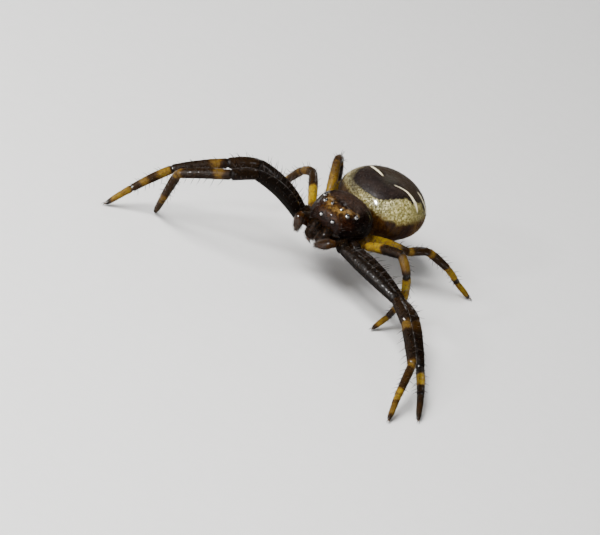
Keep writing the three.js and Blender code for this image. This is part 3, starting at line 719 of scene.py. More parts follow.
mouth = dict(
    jaw=[(0.30, -1.26, 0.04), (0.32, -1.41, -0.12), (0.32, -1.52, -0.30), (0.31, -1.61, -0.52),
         (0.29, -1.70, -0.76), (0.27, -1.74, -0.93)],
    jawSizes=[0.20, 0.33, 0.36, 0.35, 0.30, 0.16], jawSquash=0.92,
    maxilla=[(0.34, -0.7, -0.6), (0.42, -0.98, -0.68), (0.46, -1.2, -0.74)], maxillaSizes=[0.24, 0.24, 0.16],
    palpLeft=[(0.44, -1.1, -0.72), (0.70, -1.46, -0.58), (0.94, -1.73, -0.40), (0.96, -2.02, -0.28),
              (0.74, -2.07, -0.47), (0.51, -2.11, -0.65), (0.30, -2.15, -0.80)],
    palpRight=[(-0.44, -1.1, -0.72), (-0.72, -1.48, -0.5), (-0.96, -1.76, -0.26), (-1.04, -2.03, -0.09),
               (-0.98, -2.05, -0.35), (-0.92, -2.06, -0.6), (-0.88, -2.07, -0.81)],
    palpSizes=[0.12, 0.14, 0.17, 0.20, 0.235, 0.175, 0.05], palpJoints=[0.33, 0.5],
    lip=[(0, -0.72, -0.64), (0, -0.92, -0.72), (0, -1.08, -0.72)], lipSizes=[0.16, 0.17, 0.1],
    fangLength=0.22, fangSizes=[0.08, 0.07, 0.045, 0.012], fangLean=(-0.16, 0.12, 0), fangSunk=0.03,
)


# Jaws, maxillae, palps and lip are limbs through the points above. Jaws and maxillae are mirrored.
def mouthParts():
    parts = []
    for side, name in ((1, "left"), (-1, "right")):
        flip = np.array([side, 1, 1])
        parts.append(limbPart("jaw_" + name, mouth["jaw"] * flip, mouth["jawSizes"], 3, 60, 32,
                              squash=mouth["jawSquash"], start=(0, -1, 0)))
        parts.append(limbPart("maxilla_" + name, mouth["maxilla"] * flip, mouth["maxillaSizes"], 3, 26, 16))
        palp = mouth["palpLeft"] if side > 0 else mouth["palpRight"]
        parts.append(limbPart("palp_" + name, palp, mouth["palpSizes"], 6, 90, 24,
                              grooves=mouth["palpJoints"]))
    parts.append(limbPart("lip", mouth["lip"], mouth["lipSizes"], 3, 20, 14))
    return parts


# Abdomen

abdomen = dict(
    centre=(0.2, 3.35, 0.15), halfWidth=2.15, halfHeight=1.6, back=2.37, front=1.75,
    yaw=-10, pitch=-2, bellyTuck=0.15, rings=138, sides=184, unrolled=(7.6, 11.5),
    # pits where muscles hold the skin, left side: out and back; then how deep and how wide they are
    pits=[(0.42, -0.75), (0.5, -0.05), (0.46, 0.62)], pitDepth=0.03, pitWidth=0.09,
    foldHeight=0.012,
    # Markings as seen from above, mm to the left and back from the middle of the abdomen
    patternMiddle=0.09,
    perUnit=1.9,  # mm to one unit of the unrolled surface
    foliumLeft=[(0.05, -1.63), (0.33, -1.62), (0.6, -1.54), (0.67, -1.45), (0.79, -1.31), (0.91, -1.18),
                (1.06, -0.92), (1.19, -0.67), (1.16, -0.57), (1.31, -0.41), (1.58, -0.32), (1.55, -0.25),
                (1.51, -0.16), (1.53, 0.0), (1.55, 0.09), (1.65, 0.27), (1.56, 0.42), (1.62, 0.53),
                (1.82, 0.61), (1.86, 0.78), (1.81, 0.95), (1.62, 1.04), (1.4, 1.06), (1.6, 1.36),
                (1.35, 1.75), (0.9, 2.08), (0.4, 2.26)],
    foliumRight=[(-0.37, -1.59), (-0.62, -1.54), (-1.0, -1.41), (-1.33, -1.22), (-1.43, -0.94),
                 (-1.47, -0.7), (-1.49, -0.46), (-1.4, -0.22), (-1.42, 0.04), (-1.5, 0.23), (-1.52, 0.42),
                 (-1.75, 0.55), (-1.8, 0.75), (-1.7, 0.95), (-1.35, 1.02), (-1.5, 1.36), (-1.25, 1.75),
                 (-0.8, 2.08), (-0.3, 2.26)],
    # pale lines across: each its places and half widths
    bars=[([(0.40, -0.63), (0.75, -0.37), (0.98, -0.22), (1.19, -0.15), (1.38, -0.11), (1.56, -0.07),
            (1.70, -0.07), (1.84, -0.08)],
           [0.004, 0.014, 0.026, 0.042, 0.058, 0.066, 0.055, 0.03]),
          ([(-0.30, -0.60), (-0.46, -0.53), (-0.79, -0.36), (-1.10, -0.17), (-1.34, 0.05)],
           [0.003, 0.022, 0.034, 0.036, 0.02]),
          ([(1.12, 0.70), (1.32, 0.78), (1.52, 0.82), (1.7, 0.92), (1.85, 1.0)],
           [0.01, 0.03, 0.04, 0.045, 0.06]),
          ([(-0.95, 0.68), (-1.2, 0.80), (-1.45, 0.88), (-1.7, 1.0)], [0.01, 0.035, 0.045, 0.06])],
    # a dark thread in the third
    thread=([(1.25, 0.76), (1.45, 0.80), (1.62, 0.87), (1.8, 0.98)], [0.002, 0.012, 0.014, 0.006]),
    # where the flank is whitest: out and back
    whitest=(0.85, -1.2), whiteReach=1.3,
)


# An egg on its side with a blunter front: the lengths ahead of and behind the middle differ but join up.
# The angle along runs from the front end to the hind end, and the angle around from the left over the top.
def abdomenBase(around, along, grown=0.0):
    a = abdomen
    ahead, out = np.cos(along), np.sin(along)
    front, back = a["front"] + grown, a["back"] + grown
    tuck = 1 - a["bellyTuck"] * np.maximum(0, -np.sin(around)) ** 2
    x = (a["halfWidth"] + grown) * tuck * out * np.cos(around)
    blunt = 1 - (1 - np.maximum(ahead, 0)) ** (back / front)
    y = np.where(ahead > 0, -front * blunt, -back * ahead) + 0 * around
    z = (a["halfHeight"] + grown) * out * np.sin(around)
    y, z = turned(y, z, np.radians(a["pitch"]))
    x, y = turned(x, y, np.radians(a["yaw"]))
    return np.stack([x, y, z], -1) + np.array(a["centre"])


# The abdomen unrolled from its top: the distance from the middle is the angle down from the top, 1 at the
# widest level, and the direction is that of the place about the middle of the markings.
def unrolled(local):
    a = abdomen
    out = (local[..., 0] - a["patternMiddle"]) / a["halfWidth"]
    back = local[..., 1] / np.where(local[..., 1] < 0, a["front"], a["back"])
    reach = np.hypot(out, back)
    down = np.arctan2(reach, local[..., 2] / a["halfHeight"]) / (np.pi / 2)
    return np.stack([out, back], -1) * (down / np.maximum(reach, 1e-6))[..., None], down


# Places seen from above, put on the top of the egg and unrolled with it.
def unrollSeen(points):
    a = abdomen
    points = np.array(points, float)
    x, y = turned(points[:, 0], points[:, 1], np.radians(-a["yaw"]))
    ahead = np.where(y < 0, 1 - (1 - np.clip(-y / a["front"], 0, 1)) ** (a["front"] / a["back"]),
                     np.clip(y / a["back"], 0, 1))
    wide = np.sqrt(np.maximum(1 - ahead ** 2, 1e-6))
    z = a["halfHeight"] * wide * np.sqrt(np.maximum(1 - (x / (a["halfWidth"] * wide)) ** 2, 0))
    return unrolled(np.column_stack([points, z]))[0]


# The nearest place on a straight edge, as a share of its length, and the distance to it.
def nearestOn(points, start, edge):
    t = np.clip(((points - start) * edge).sum(-1) / max((edge ** 2).sum(), 1e-12), 0, 1)
    return t, np.linalg.norm(points - start - t[..., None] * edge, axis=-1)


# Distance to an outline, negative inside.
def outlineDistance(points, outline):
    nearest = np.full(points.shape[:-1], 1e9)
    inside = np.zeros(points.shape[:-1], bool)
    for start, end in zip(outline, np.roll(outline, -1, 0)):
        edge = end - start
        nearest = np.minimum(nearest, nearestOn(points, start, edge)[1])
        crosses = (start[1] > points[..., 1]) != (end[1] > points[..., 1])
        at = start[0] + (points[..., 1] - start[1]) * edge[0] / (edge[1] if edge[1] else 1e-12)
        inside ^= crosses & (points[..., 0] < at)
    return np.where(inside, -nearest, nearest)


# Distance to a stroke that widens along its line, negative inside.
def strokeDistance(points, line, widths):
    best = np.full(points.shape[:-1], 1e9)
    for start, end, w0, w1 in zip(line, line[1:], widths, widths[1:]):
        t, distance = nearestOn(points, start, end - start)
        best = np.minimum(best, distance - (w0 + (w1 - w0) * t))
    return best


# The egg with pits sunk into its top and soft folds along its sides. Its marks hold how far each point is
# from the outline and the lines of the pattern.
def abdomenPart():
    a = abdomen
    along = (np.pi * (np.arange(a["rings"]) + 0.7) / (a["rings"] + 0.4))[:, None]
    around = np.broadcast_to(anglesRound(a["sides"], -np.pi / 2), (a["rings"], a["sides"]))
    p = abdomenBase(around, along)
    normal = unit(abdomenBase(around, along, 0.01) - p)
    local = p - np.array(a["centre"])
    flat, down = unrolled(local)

    # the distance in mm to a line as wide as it is written in the dictionary
    def toStroke(line, widths):
        return strokeDistance(flat, unrollSeen(line), np.array(widths) / a["perUnit"]) * a["perUnit"]

    folium = outlineDistance(flat, unrollSeen(a["foliumLeft"] + a["foliumRight"][::-1])) * a["perUnit"]
    lift = np.zeros_like(down)
    for sideways, backward in a["pits"]:
        for side in (1, -1):
            away = np.hypot(local[..., 0] - side * sideways, local[..., 1] - backward)
            lift -= a["pitDepth"] * bell(away, a["pitWidth"]) * (local[..., 2] > 0)
    # soft folds along the flanks
    wave = np.sin(9 * down + 1.2 * np.sin(3 * along)) * ramp(down, 0.7, 0.9) * (1 - ramp(down, 1.35, 1.6))
    lift += a["foldHeight"] * wave
    p = p + normal * lift[..., None]
    whitest = np.hypot(np.abs(local[..., 0]) - a["whitest"][0], local[..., 1] - a["whitest"][1])
    marks = dict(folium=folium, bar=np.min([toStroke(*bar) for bar in a["bars"]], axis=0), down=down,
                 back=local[..., 1], out=local[..., 0], thread=toStroke(*a["thread"]),
                 pale=bell(whitest, a["whiteReach"]))
    part = closedRings(p, marks, 4, a["unrolled"], abdomenBase(np.zeros(2), np.array([0.0, np.pi])))
    part.update(name="abdomen", normal=normal)
    return part


# Waist and spinnerets

waist = dict(start=(0, 1.3, -0.28), end=(0, 1.95, -0.28), size=0.24)
spinnerets = dict(
    along=148, droop=35,  # degrees: where they sit along the underside, and how far they point below level
    mound=0.28, moundLength=0.08, moundAlong=(-0.25, 0.12), moundTaper=0.8,
    # each pair: out from the middle, up, radius, length
    cones=[(0.15, -0.13, 0.135, 0.3), (0.08, 0.02, 0.08, 0.22), (0.14, 0.14, 0.115, 0.28)],
    coneTaper=[0.95, 1, 0.93, 0.8, 0.62], coneSunk=0.08,
)


# The waist is a plain limb. Three pairs of tapering limbs, the spinnerets, stand on a low mound.
def waistParts():
    start, end = np.array(waist["start"]), np.array(waist["end"])
    path = start + (end - start) * np.linspace(0, 1, 5)[:, None]
    parts = [limbPart("waist", path, [waist["size"]] * 5, 5, 30, 20, cap=(0, 0))]
    root = abdomenBase(np.array(-np.pi / 2), np.radians(spinnerets["along"]))
    front, hind = abdomenBase(np.zeros(2), np.array([0.0, np.pi]))
    back = unit((hind - front) * [1, 1, 0])
    across = np.array([back[1], -back[0], 0])
    droop = np.radians(spinnerets["droop"])
    way = back * np.cos(droop) - np.array([0, 0, np.sin(droop)])
    up = np.cross(across, way)
    sizes = spinnerets["mound"] * np.array([1, 1, 1, spinnerets["moundTaper"]])
    steps = np.linspace(*spinnerets["moundAlong"], 4)[:, None]
    parts.append(limbPart("mound", root + way * steps, sizes, 5, 20, 24, start=up))
    mound = root + way * spinnerets["moundLength"]
    for outward, upward, radius, length in spinnerets["cones"]:
        for side in (1, -1):
            foot = mound + across * side * outward + up * upward
            through = foot + way * np.linspace(-spinnerets["coneSunk"], length, 5)[:, None]
            sizes = radius * np.array(spinnerets["coneTaper"])
            parts.append(limbPart(f"cone{outward}{side}", through, sizes, 5, 24, 16, start=up))
    return parts


# Finishes of the skin

# How far light goes under the surface, in mm for red, green and blue
glowReach = dict(leg=(0.22, 0.11, 0.03), palp=(0.15, 0.07, 0.02), abdomen=(0.1, 0.08, 0.05))


def glowing(piece, weight):
    return dict(Subsurface_Weight=weight, Subsurface_Radius=tuple(reach * mm for reach in glowReach[piece]),
                Subsurface_Scale=1.0)


legTone = dict(
    black=(0.0036, 0.0022, 0.0014), brown=(0.0235, 0.0105, 0.0022), olive=(0.112, 0.062, 0.0090),
    pale=(0.268, 0.176, 0.003), warm=(1.0, 0.78, 0.5),
    blotch=7, speckle=21, warmth=3.1,  # how fine the patterns are
    shine=0.6, relief=0.036,
)


# The bands come from the tone worked out along each leg, moved up and down by blotches and speckles, and
# darkened underneath as painted shade.
def legSkin(name, glow):
    c = legTone
    s = Shader(name, Specular_IOR_Level=0.025, Coat_Roughness=0.09, Coat_IOR=1.5, IOR=1.5,
               **glowing("leg", glow))
    where = s.place()
    blotch = s.noise(where, c["blotch"], 4, 0.6) - 0.5
    speckle = s.noise(where, c["speckle"], 3, 0.65) - 0.5
    tone = s.mark("tone")
    shade = tone * 0.92 + blotch * (0.6 + tone * 0.6) + speckle * (0.8 + tone * 0.7)
    # painted shade: the underside of each leg is made darker; the grooves at the joints are darker skin
    shade = shade - 0.25 * s.mark("upside").rise(0.1, -0.6) - 0.5 * s.mark("groove")
    colour = s.ramp(shade / 3, [(0, c["black"]), (0.33, c["brown"]), (0.66, c["olive"]), (1, c["pale"])])
    warm = s.noise(where, c["warmth"], 2).rise(0.45, 0.7)
    colour = s.tint(warm * 0.35, colour, c["warm"])
    return polished(s, where, colour, c["shine"], s.mark("upside").rise(-0.1, 0.6), c["relief"])


# Hard, damp-looking skin: fine bumps, and polished spots where it is lit, which break the glints up. The
# shine is the coat's weight in a spot, and the relief the bumps' depth in mm. More cover leaves fewer spots.
def polished(s, where, colour, shine, lit, relief, height=None, cover=0.48):
    spots = s.noise(where, 6.5, 2, 0.5).rise(cover, cover + 0.12) * lit
    bumps = s.noise(where, 5, 3, 0.55) + s.cells(s.shake(where, 8, 0.08), 9) * 0.3
    if height is not None:
        bumps = bumps + height
    return s.finish(Base_Color=colour, Roughness=0.55 - 0.30 * spots, Coat_Weight=spots * shine,
                    Normal=s.bump(bumps, 0.9, relief))


carapaceTone = dict(
    # the two dome colours are a painted purple-grey sheen on the top of the rear dome
    dark=(0.0046, 0.0017, 0.0008), domeSheen=(0.031, 0.0200, 0.0155), domeSheenWarm=(0.028, 0.0138, 0.0078),
    cheek=(0.017, 0.0052, 0.0016), face=(0.0085, 0.0024, 0.0007), forehead=(0.030, 0.0115, 0.0030),
    goldEdge=(0.044, 0.0190, 0.0032), gold=(0.225, 0.132, 0.036), fleck=(0.33, 0.212, 0.088),
    socket=(0.004, 0.002, 0.001), under=(0.030, 0.012, 0.004),
    cloud=2.2, veins=7, fine=24,  # how fine the patterns are
    shine=0.5, relief=0.04,
)


# Patches by height, width and distance back, then the gold field, mottling and flecks over them.
def carapaceSkin():
    c = carapaceTone
    s = Shader("carapaceSkin", Specular_IOR_Level=0.02, Coat_Roughness=0.12, Coat_IOR=1.35, IOR=1.5)
    where = s.place()
    cloud = s.noise(where, c["cloud"], 4, 0.6) - 0.5
    veins = s.noise(where, c["veins"], 4, 0.65) - 0.5
    fine = s.noise(where, c["fine"], 3, 0.65)
    back = s.mark("back") + cloud * 0.3
    high = s.mark("high") + veins * 0.2
    out = s.mark("out") + veins * 0.35
    # the sides are nearly black, the top of the dome behind is painted purple-grey as a painted sheen, and
    # the head brown in front
    domeSheen = back.rise(-0.75, -0.35) * out.rise(0.98, 0.72) * high.rise(0.45, 0.75)
    colour = s.mix(domeSheen, c["dark"], s.mix((cloud + veins * 0.6).rise(-0.15, 0.2), c["domeSheen"], c["domeSheenWarm"]))
    front = back.rise(-0.7, -1.05)
    colour = s.mix(front * high.rise(0.1, 0.4), colour, c["cheek"])
    forehead = front * out.rise(0.75, 0.5) * high.rise(0.35, 0.6)
    colour = s.mix(forehead, colour, c["forehead"])
    face = back.rise(-1.42, -1.5) * out.rise(0.85, 0.6)
    colour = s.mix(face * high.rise(0.55, 0.4), colour, c["face"])
    field = s.mark("gold") + veins * 1.3 + cloud * 0.6
    colour = s.mix(field.rise(0.25, 0.7), colour, c["goldEdge"])
    colour = s.mix(field.rise(0.55, 1.6), colour, c["gold"])
    colour = s.mix(high.rise(-0.15, -0.35), colour, c["under"])
    # dark lines along the furrows, and mottling everywhere
    colour = s.tint(s.mark("furrow") * 0.35, colour, (0.4, 0.33, 0.3))
    colour = s.tint((0.5 - veins).rise(0.46, 0.62) * 0.8, colour, (0.34, 0.27, 0.21))
    colour = s.tint((veins + 0.5).rise(0.54, 0.70) * 0.6, colour, (1.7, 1.65, 1.6))
    colour = s.tint(fine.rise(0.45, 0.65) * 0.65, colour, (0.42, 0.36, 0.30))
    spot = (s.mark("fleck") + veins * 1.2 + cloud * 0.5 + (fine - 0.5) * 0.5).rise(0.35, 1.15)
    colour = s.mix(spot * 0.85, colour, s.mix(fine.rise(0.35, 0.6) * 0.8, c["fleck"], c["goldEdge"]))
    colour = s.mix(s.mark("socket").rise(0.42, 0.62), colour, c["socket"])
    lit = high.rise(0.1, 0.6) * (1 - domeSheen * 0.8) * (1 - forehead * 0.75) * (1 - face * 0.8)
    return polished(s, where, colour, c["shine"], lit, c["relief"], veins * 0.6)


jawTone = dict(black=(0.0012, 0.0006, 0.0003), brown=(0.0150, 0.0064, 0.0017), tip=(0.013, 0.0045, 0.0012),
               speck=(0.5, 0.42, 0.36), mottle=9, fine=24, shine=0.2, relief=0.05)


def jawSkin():
    c = jawTone
    s = Shader("jawSkin", Specular_IOR_Level=0.008, Coat_Roughness=0.12, Coat_IOR=1.35, IOR=1.5)
    where = s.place()
    mottle = s.noise(where, c["mottle"], 4, 0.7)
    colour = s.mix(mottle.rise(0.42, 0.68), c["black"], c["brown"])
    colour = s.mix(s.mark("station").rise(0.75, 1.0) * 0.5, colour, c["tip"])
    colour = s.tint(s.noise(where, c["fine"], 3, 0.6).rise(0.45, 0.7) * 0.5, colour, c["speck"])
    return polished(s, where, colour, c["shine"], s.mark("upside").rise(0.2, 0.8), c["relief"], cover=0.54)


palpTone = dict(dark=(0.008, 0.0030, 0.0009), brown=(0.026, 0.0100, 0.0020), joint=(0.036, 0.015, 0.003),
                tip=(0.008, 0.0032, 0.0012), mottle=6, shine=0.7, relief=0.02)


def palpSkin():
    c = palpTone
    s = Shader("palpSkin", Specular_IOR_Level=0.015, Coat_Roughness=0.09, Coat_IOR=1.35, IOR=1.5,
               **glowing("palp", 0.3))
    where = s.place()
    station = s.mark("station")
    colour = s.mix(s.noise(where, c["mottle"], 4, 0.6).rise(0.35, 0.65), c["dark"], c["brown"])
    for joint in mouth["palpJoints"]:
        colour = s.mix(station.bell(joint, 0.04) * 0.5, colour, c["joint"])
    colour = s.mix(station.rise(0.85, 1.0) * 0.7, colour, c["tip"])
    return polished(s, where, colour, c["shine"], s.mark("upside").rise(-0.5, 0.3), c["relief"], cover=0.38)


abdomenTone = dict(
    # the dark shape and its pale lines; its grey-green colour and part of its paler hind colour are painted
    # sheen
    folium=(0.0125, 0.0088, 0.0080), foliumWarm=(0.021, 0.0140, 0.0110), foliumHindAndSheen=(0.034, 0.0235, 0.0140),
    foliumEdge=(0.006, 0.0036, 0.0026), foliumSheen=(0.036, 0.034, 0.024), shade=(0.050, 0.040, 0.019),
    white=(0.78, 0.66, 0.34), whiteSpeck=(0.88, 0.80, 0.56),
    # the pale flank, its granules and its lower edge
    cream=(0.195, 0.170, 0.055), rim=(0.40, 0.30, 0.055), granule=(0.66, 0.58, 0.24),
    pearl=(0.70, 0.68, 0.46), thickest=(0.86, 0.78, 0.42), olive=(0.125, 0.078, 0.012),
    # the lower flank and the belly
    redBrown=(0.024, 0.0050, 0.0010), amber=(0.043, 0.0170, 0.0022), honey=(0.125, 0.060, 0.0055),
    belly=(0.040, 0.018, 0.005),
    wobble=3.2, edge=14, fine=26, cells=6.6, grit=10, stripes=2.2,  # how fine the patterns are
    stripeStretch=(3.0, 3.0, 0.8), shine=0.3, relief=0.04,
)


# The flank, the lower flank, the dark shape and its lines are painted one over the other by the marks.
def abdomenSkin():
    c = abdomenTone
    s = Shader("abdomenSkin", Specular_IOR_Level=0.04, Coat_Roughness=0.12, Coat_IOR=1.35, IOR=1.45,
               **glowing("abdomen", 0.05))
    where = s.place()
    folium, bar, down, back, out = (s.mark(name) for name in ("folium", "bar", "down", "back", "out"))
    wobble = s.noise(where, c["wobble"], 4, 0.6) - 0.5
    edge = s.noise(where, c["edge"], 3, 0.6) - 0.5
    fine = s.noise(where, c["fine"], 3, 0.65)
    shaken = s.shake(where, 9, 0.24)
    gaps = s.cells(shaken, c["cells"], "DISTANCE_TO_EDGE")
    each = s.cells(shaken, c["cells"], output="Color")
    grit = s.noise(where, c["grit"], 3, 0.7)
    stripes = s.noise(s.stretch(where, c["stripeStretch"]), c["stripes"], 4, 0.6)
    # the pale flank: white granules with greenish gaps, thick where it is whitest and thin elsewhere
    low = down + wobble * 0.14 + edge * 0.04 - 0.05 * back.rise(-0.5, -1.3)
    flank = s.mix((wobble + out * 0.25).rise(-0.25, 0.15), c["rim"], c["cream"])
    thick = s.mark("pale") + wobble * 1.1
    coarse = out.rise(1.3, 0.8)
    granule = (gaps.rise(0.0, 0.30) * (0.12 + 0.75 * coarse) * (0.3 + 1.3 * each)
               + grit.rise(0.36, 0.66) * (0.85 - 0.3 * coarse))
    flank = s.mix(granule * thick.rise(-0.2, 0.55), flank, s.mix(coarse * 0.7, c["granule"], c["pearl"]))
    flank = s.mix((granule + edge).rise(0.62, 1.0) * thick.rise(0.2, 0.9), flank, c["thickest"])
    flank = s.tint(gaps.rise(0.12, 0.0) * 0.6 * coarse * (thick + 0.35), flank, (0.34, 0.32, 0.20))
    flank = s.tint((0.55 - grit).rise(0.0, 0.16) * (0.3 + 0.6 * coarse), flank, (0.32, 0.30, 0.20))
    flank = s.tint((stripes - 0.45).rise(0.0, 0.2) * (1 - coarse) * 0.5, flank, (0.66, 0.66, 0.48))
    flank = s.tint(fine.rise(0.42, 0.62) * 0.6, flank, (0.55, 0.52, 0.40))
    flank = s.mix(low.rise(0.72, 0.85) * 0.7, flank, c["olive"])
    # lower flank: striped amber-brown in front, then dark red-brown, honey-coloured behind, and the belly
    lower = s.mix((back + wobble * 0.8).rise(-1.15, -0.6), c["amber"], c["redBrown"])
    lower = s.mix((low + (stripes - 0.5) * 0.9).rise(1.05, 1.3) * 0.8, lower, c["amber"])
    behind = (back + wobble * 0.5 + stripes * 0.3).rise(-0.5, 0.0)
    lower = s.mix(behind * low.rise(1.5, 1.1) * 0.85, lower, c["honey"])
    lower = s.tint(stripes.rise(0.42, 0.58) * 0.85, lower, (0.34, 0.22, 0.15))
    lower = s.mix(low.rise(1.45, 1.6), lower, c["belly"])
    colour = s.mix((low + stripes * 0.05).rise(0.815, 0.905), flank, lower)
    # the dark shape on the back, soft at its right
    soft = out.rise(-0.3, -1.1)
    colour = s.mix((folium + wobble * 0.6).rise(0.65, 0.0) * soft * 0.75, colour, c["shade"])
    dark = s.mix((wobble + edge * 0.5).rise(-0.12, 0.2), c["folium"], c["foliumWarm"])
    # the hind part is paler: partly its own olive-grey and partly painted sheen
    dark = s.mix((back + wobble * 0.8).rise(-0.7, 0.0) * 0.75, dark, c["foliumHindAndSheen"])
    # painted sheen: the middle of the front half of the dark shape is lightened to grey-green
    middle = out.bell(0.05, 0.5) * (back + wobble).bell(-0.55, 0.7)
    dark = s.mix(middle * 0.6, dark, c["foliumSheen"])
    dark = s.tint((0.5 - edge).rise(0.52, 0.72) * 0.7, dark, (1.7, 1.6, 1.5))
    dark = s.tint(fine.rise(0.42, 0.62) * 0.7, dark, (0.40, 0.37, 0.34))
    ragged = folium + edge * 0.16 + wobble * 0.10
    dark = s.mix(ragged.bell(-0.04, 0.07) * 0.7, dark, c["foliumEdge"])
    inside = ragged.rise(0.035, -0.035)
    inside = inside + (1 - inside) * (ragged + wobble * 0.3).rise(0.36, -0.02) * soft * 0.75
    colour = s.mix(inside, colour, dark)
    line = (bar + edge * 0.04).rise(0.026, -0.014)
    colour = s.mix(line, colour, s.mix(fine.rise(0.45, 0.8), c["whiteSpeck"], c["white"]))
    colour = s.mix((s.mark("thread") + edge * 0.02).rise(0.012, -0.01), colour, c["foliumEdge"])
    colour = s.tint(fine.rise(0.5, 0.75) * 0.3, colour, (0.6, 0.55, 0.48))
    lit = down.rise(0.95, 0.7) * (1 - inside * 0.6)
    return polished(s, where, colour, c["shine"], lit, c["relief"], granule * (1 - inside) * 1.1)


spinneretTone = dict(dark=(0.025, 0.011, 0.004), light=(0.10, 0.048, 0.014), mottle=5, grain=18)


def spinneretSkin():
    c = spinneretTone
    s = Shader("spinneretSkin", Specular_IOR_Level=0.12)
    where = s.place()
    mottle = s.noise(where, c["mottle"], 4, 0.6)
    colour = s.mix(mottle.rise(0.3, 0.7), c["dark"], c["light"])
    grain = s.noise(where, c["grain"], 3)
    return s.finish(Base_Color=colour, Roughness=0.4 + 0.2 * mottle, Normal=s.bump(grain, 0.4, 0.02))


# Eyes, fangs and claws

eyes = dict(
    # left side: place near the skin, radius, way it looks
    ame=((0.33, -1.585, 0.405), 0.112, (0.25, -1, 0.35)),
    ale=((0.63, -1.03, 0.82), 0.112, (0.55, -0.75, 0.5)),
    pme=((0.25, -1.08, 0.92), 0.076, (0.1, -0.3, 1)),
    ple=((0.92, -0.67, 0.86), 0.105, (0.85, -0.1, 0.5)),
)
# how far the middle of a lens is under the skin, as a share of its radius, and its colours
lens = dict(sunk=0.25, rim=(0.02, 0.009, 0.004), middle=(0.004, 0.003, 0.003))


# A ball, as rings from its back to its front along the way it looks.
def ballPart(centre, radius, way, rings=20, sides=28):
    way = unit(np.array(way, float))
    right = unit(np.cross(way, [0.1, 0.2, 1]))
    up = np.cross(right, way)
    t = (np.pi * (np.arange(rings) + 0.6) / (rings + 0.2))[:, None]
    angle = anglesRound(sides)[None, :]
    ring = np.sin(t)[..., None] * (right * np.cos(angle)[..., None] + up * np.sin(angle)[..., None])
    ball = centre + radius * (ring - np.cos(t)[..., None] * way)
    ends = (centre - radius * way, centre + radius * way)
    return closedRings(ball, dict(ahead=-np.cos(t)), 0, (3.2 * radius, 6.3 * radius), ends)


def eyeLens():
    s = Shader("eyeLens", Roughness=0.12, Coat_Weight=1.0, Coat_Roughness=0.10, Coat_IOR=2.8, IOR=2.2)
    return s.finish(Base_Color=s.mix(s.mark("ahead").rise(-0.2, 0.5), lens["rim"], lens["middle"]))


# Each lens is sunk a little into the nearest place of the skin, along the skin's own direction.
def addEyes(prosoma):
    parts = []
    skinPoints = prosoma["rings"].reshape(-1, 3)
    skinWays = prosoma["normal"].reshape(-1, 3)
    for place, radius, way in eyes.values():
        for side in (1, -1):
            flip = np.array([side, 1, 1])
            nearest = np.argmin(np.linalg.norm(skinPoints - place * flip, axis=1))
            centre = skinPoints[nearest] - skinWays[nearest] * radius * lens["sunk"]
            parts.append(ballPart(centre, radius, way * flip))
    packCharts(parts)
    made = makeObject("eyes", parts, [eyeLens()])
    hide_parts(*[f"eye_{name}_{side}" for name in eyes for side in ("left", "right")])


fangTone = dict(root=(0.10, 0.035, 0.014), tip=(0.012, 0.006, 0.005), grain=12, grainStretch=(3, 3, 1))


def fangHorn():
    s = Shader("fangHorn", Roughness=0.15, Coat_Weight=0.6, Coat_Roughness=0.08, IOR=1.55)
    grain = s.noise(s.stretch(s.place(), fangTone["grainStretch"]), fangTone["grain"])
    colour = s.mix(s.mark("station").rise(0.1, 0.8), fangTone["root"], fangTone["tip"])
    return s.finish(Base_Color=colour, Normal=s.bump(grain, 0.15, 0.01))


# A fang goes on from the tip of its jaw and curves inward and back.
def addFangs():
    parts = []
    for side in (1, -1):
        flip = np.array([side, 1, 1])
        end = mouth["jaw"][-1] * flip + [0, 0, mouth["fangSunk"]]
        down = unit(end - mouth["jaw"][-3] * flip)
        t = np.linspace(0, 1, 6)[:, None]
        through = end + down * mouth["fangLength"] * t + mouth["fangLean"] * flip * t ** 2
        parts.append(limbPart("fang", through, mouth["fangSizes"], 0, 26, 16, cap=(0, 0.5), start=(0, -1, 0)))
    packCharts(parts)
    made = makeObject("fangs", parts, [fangHorn()])
    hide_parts("fang_left", "fang_right")


# Bristles and hair

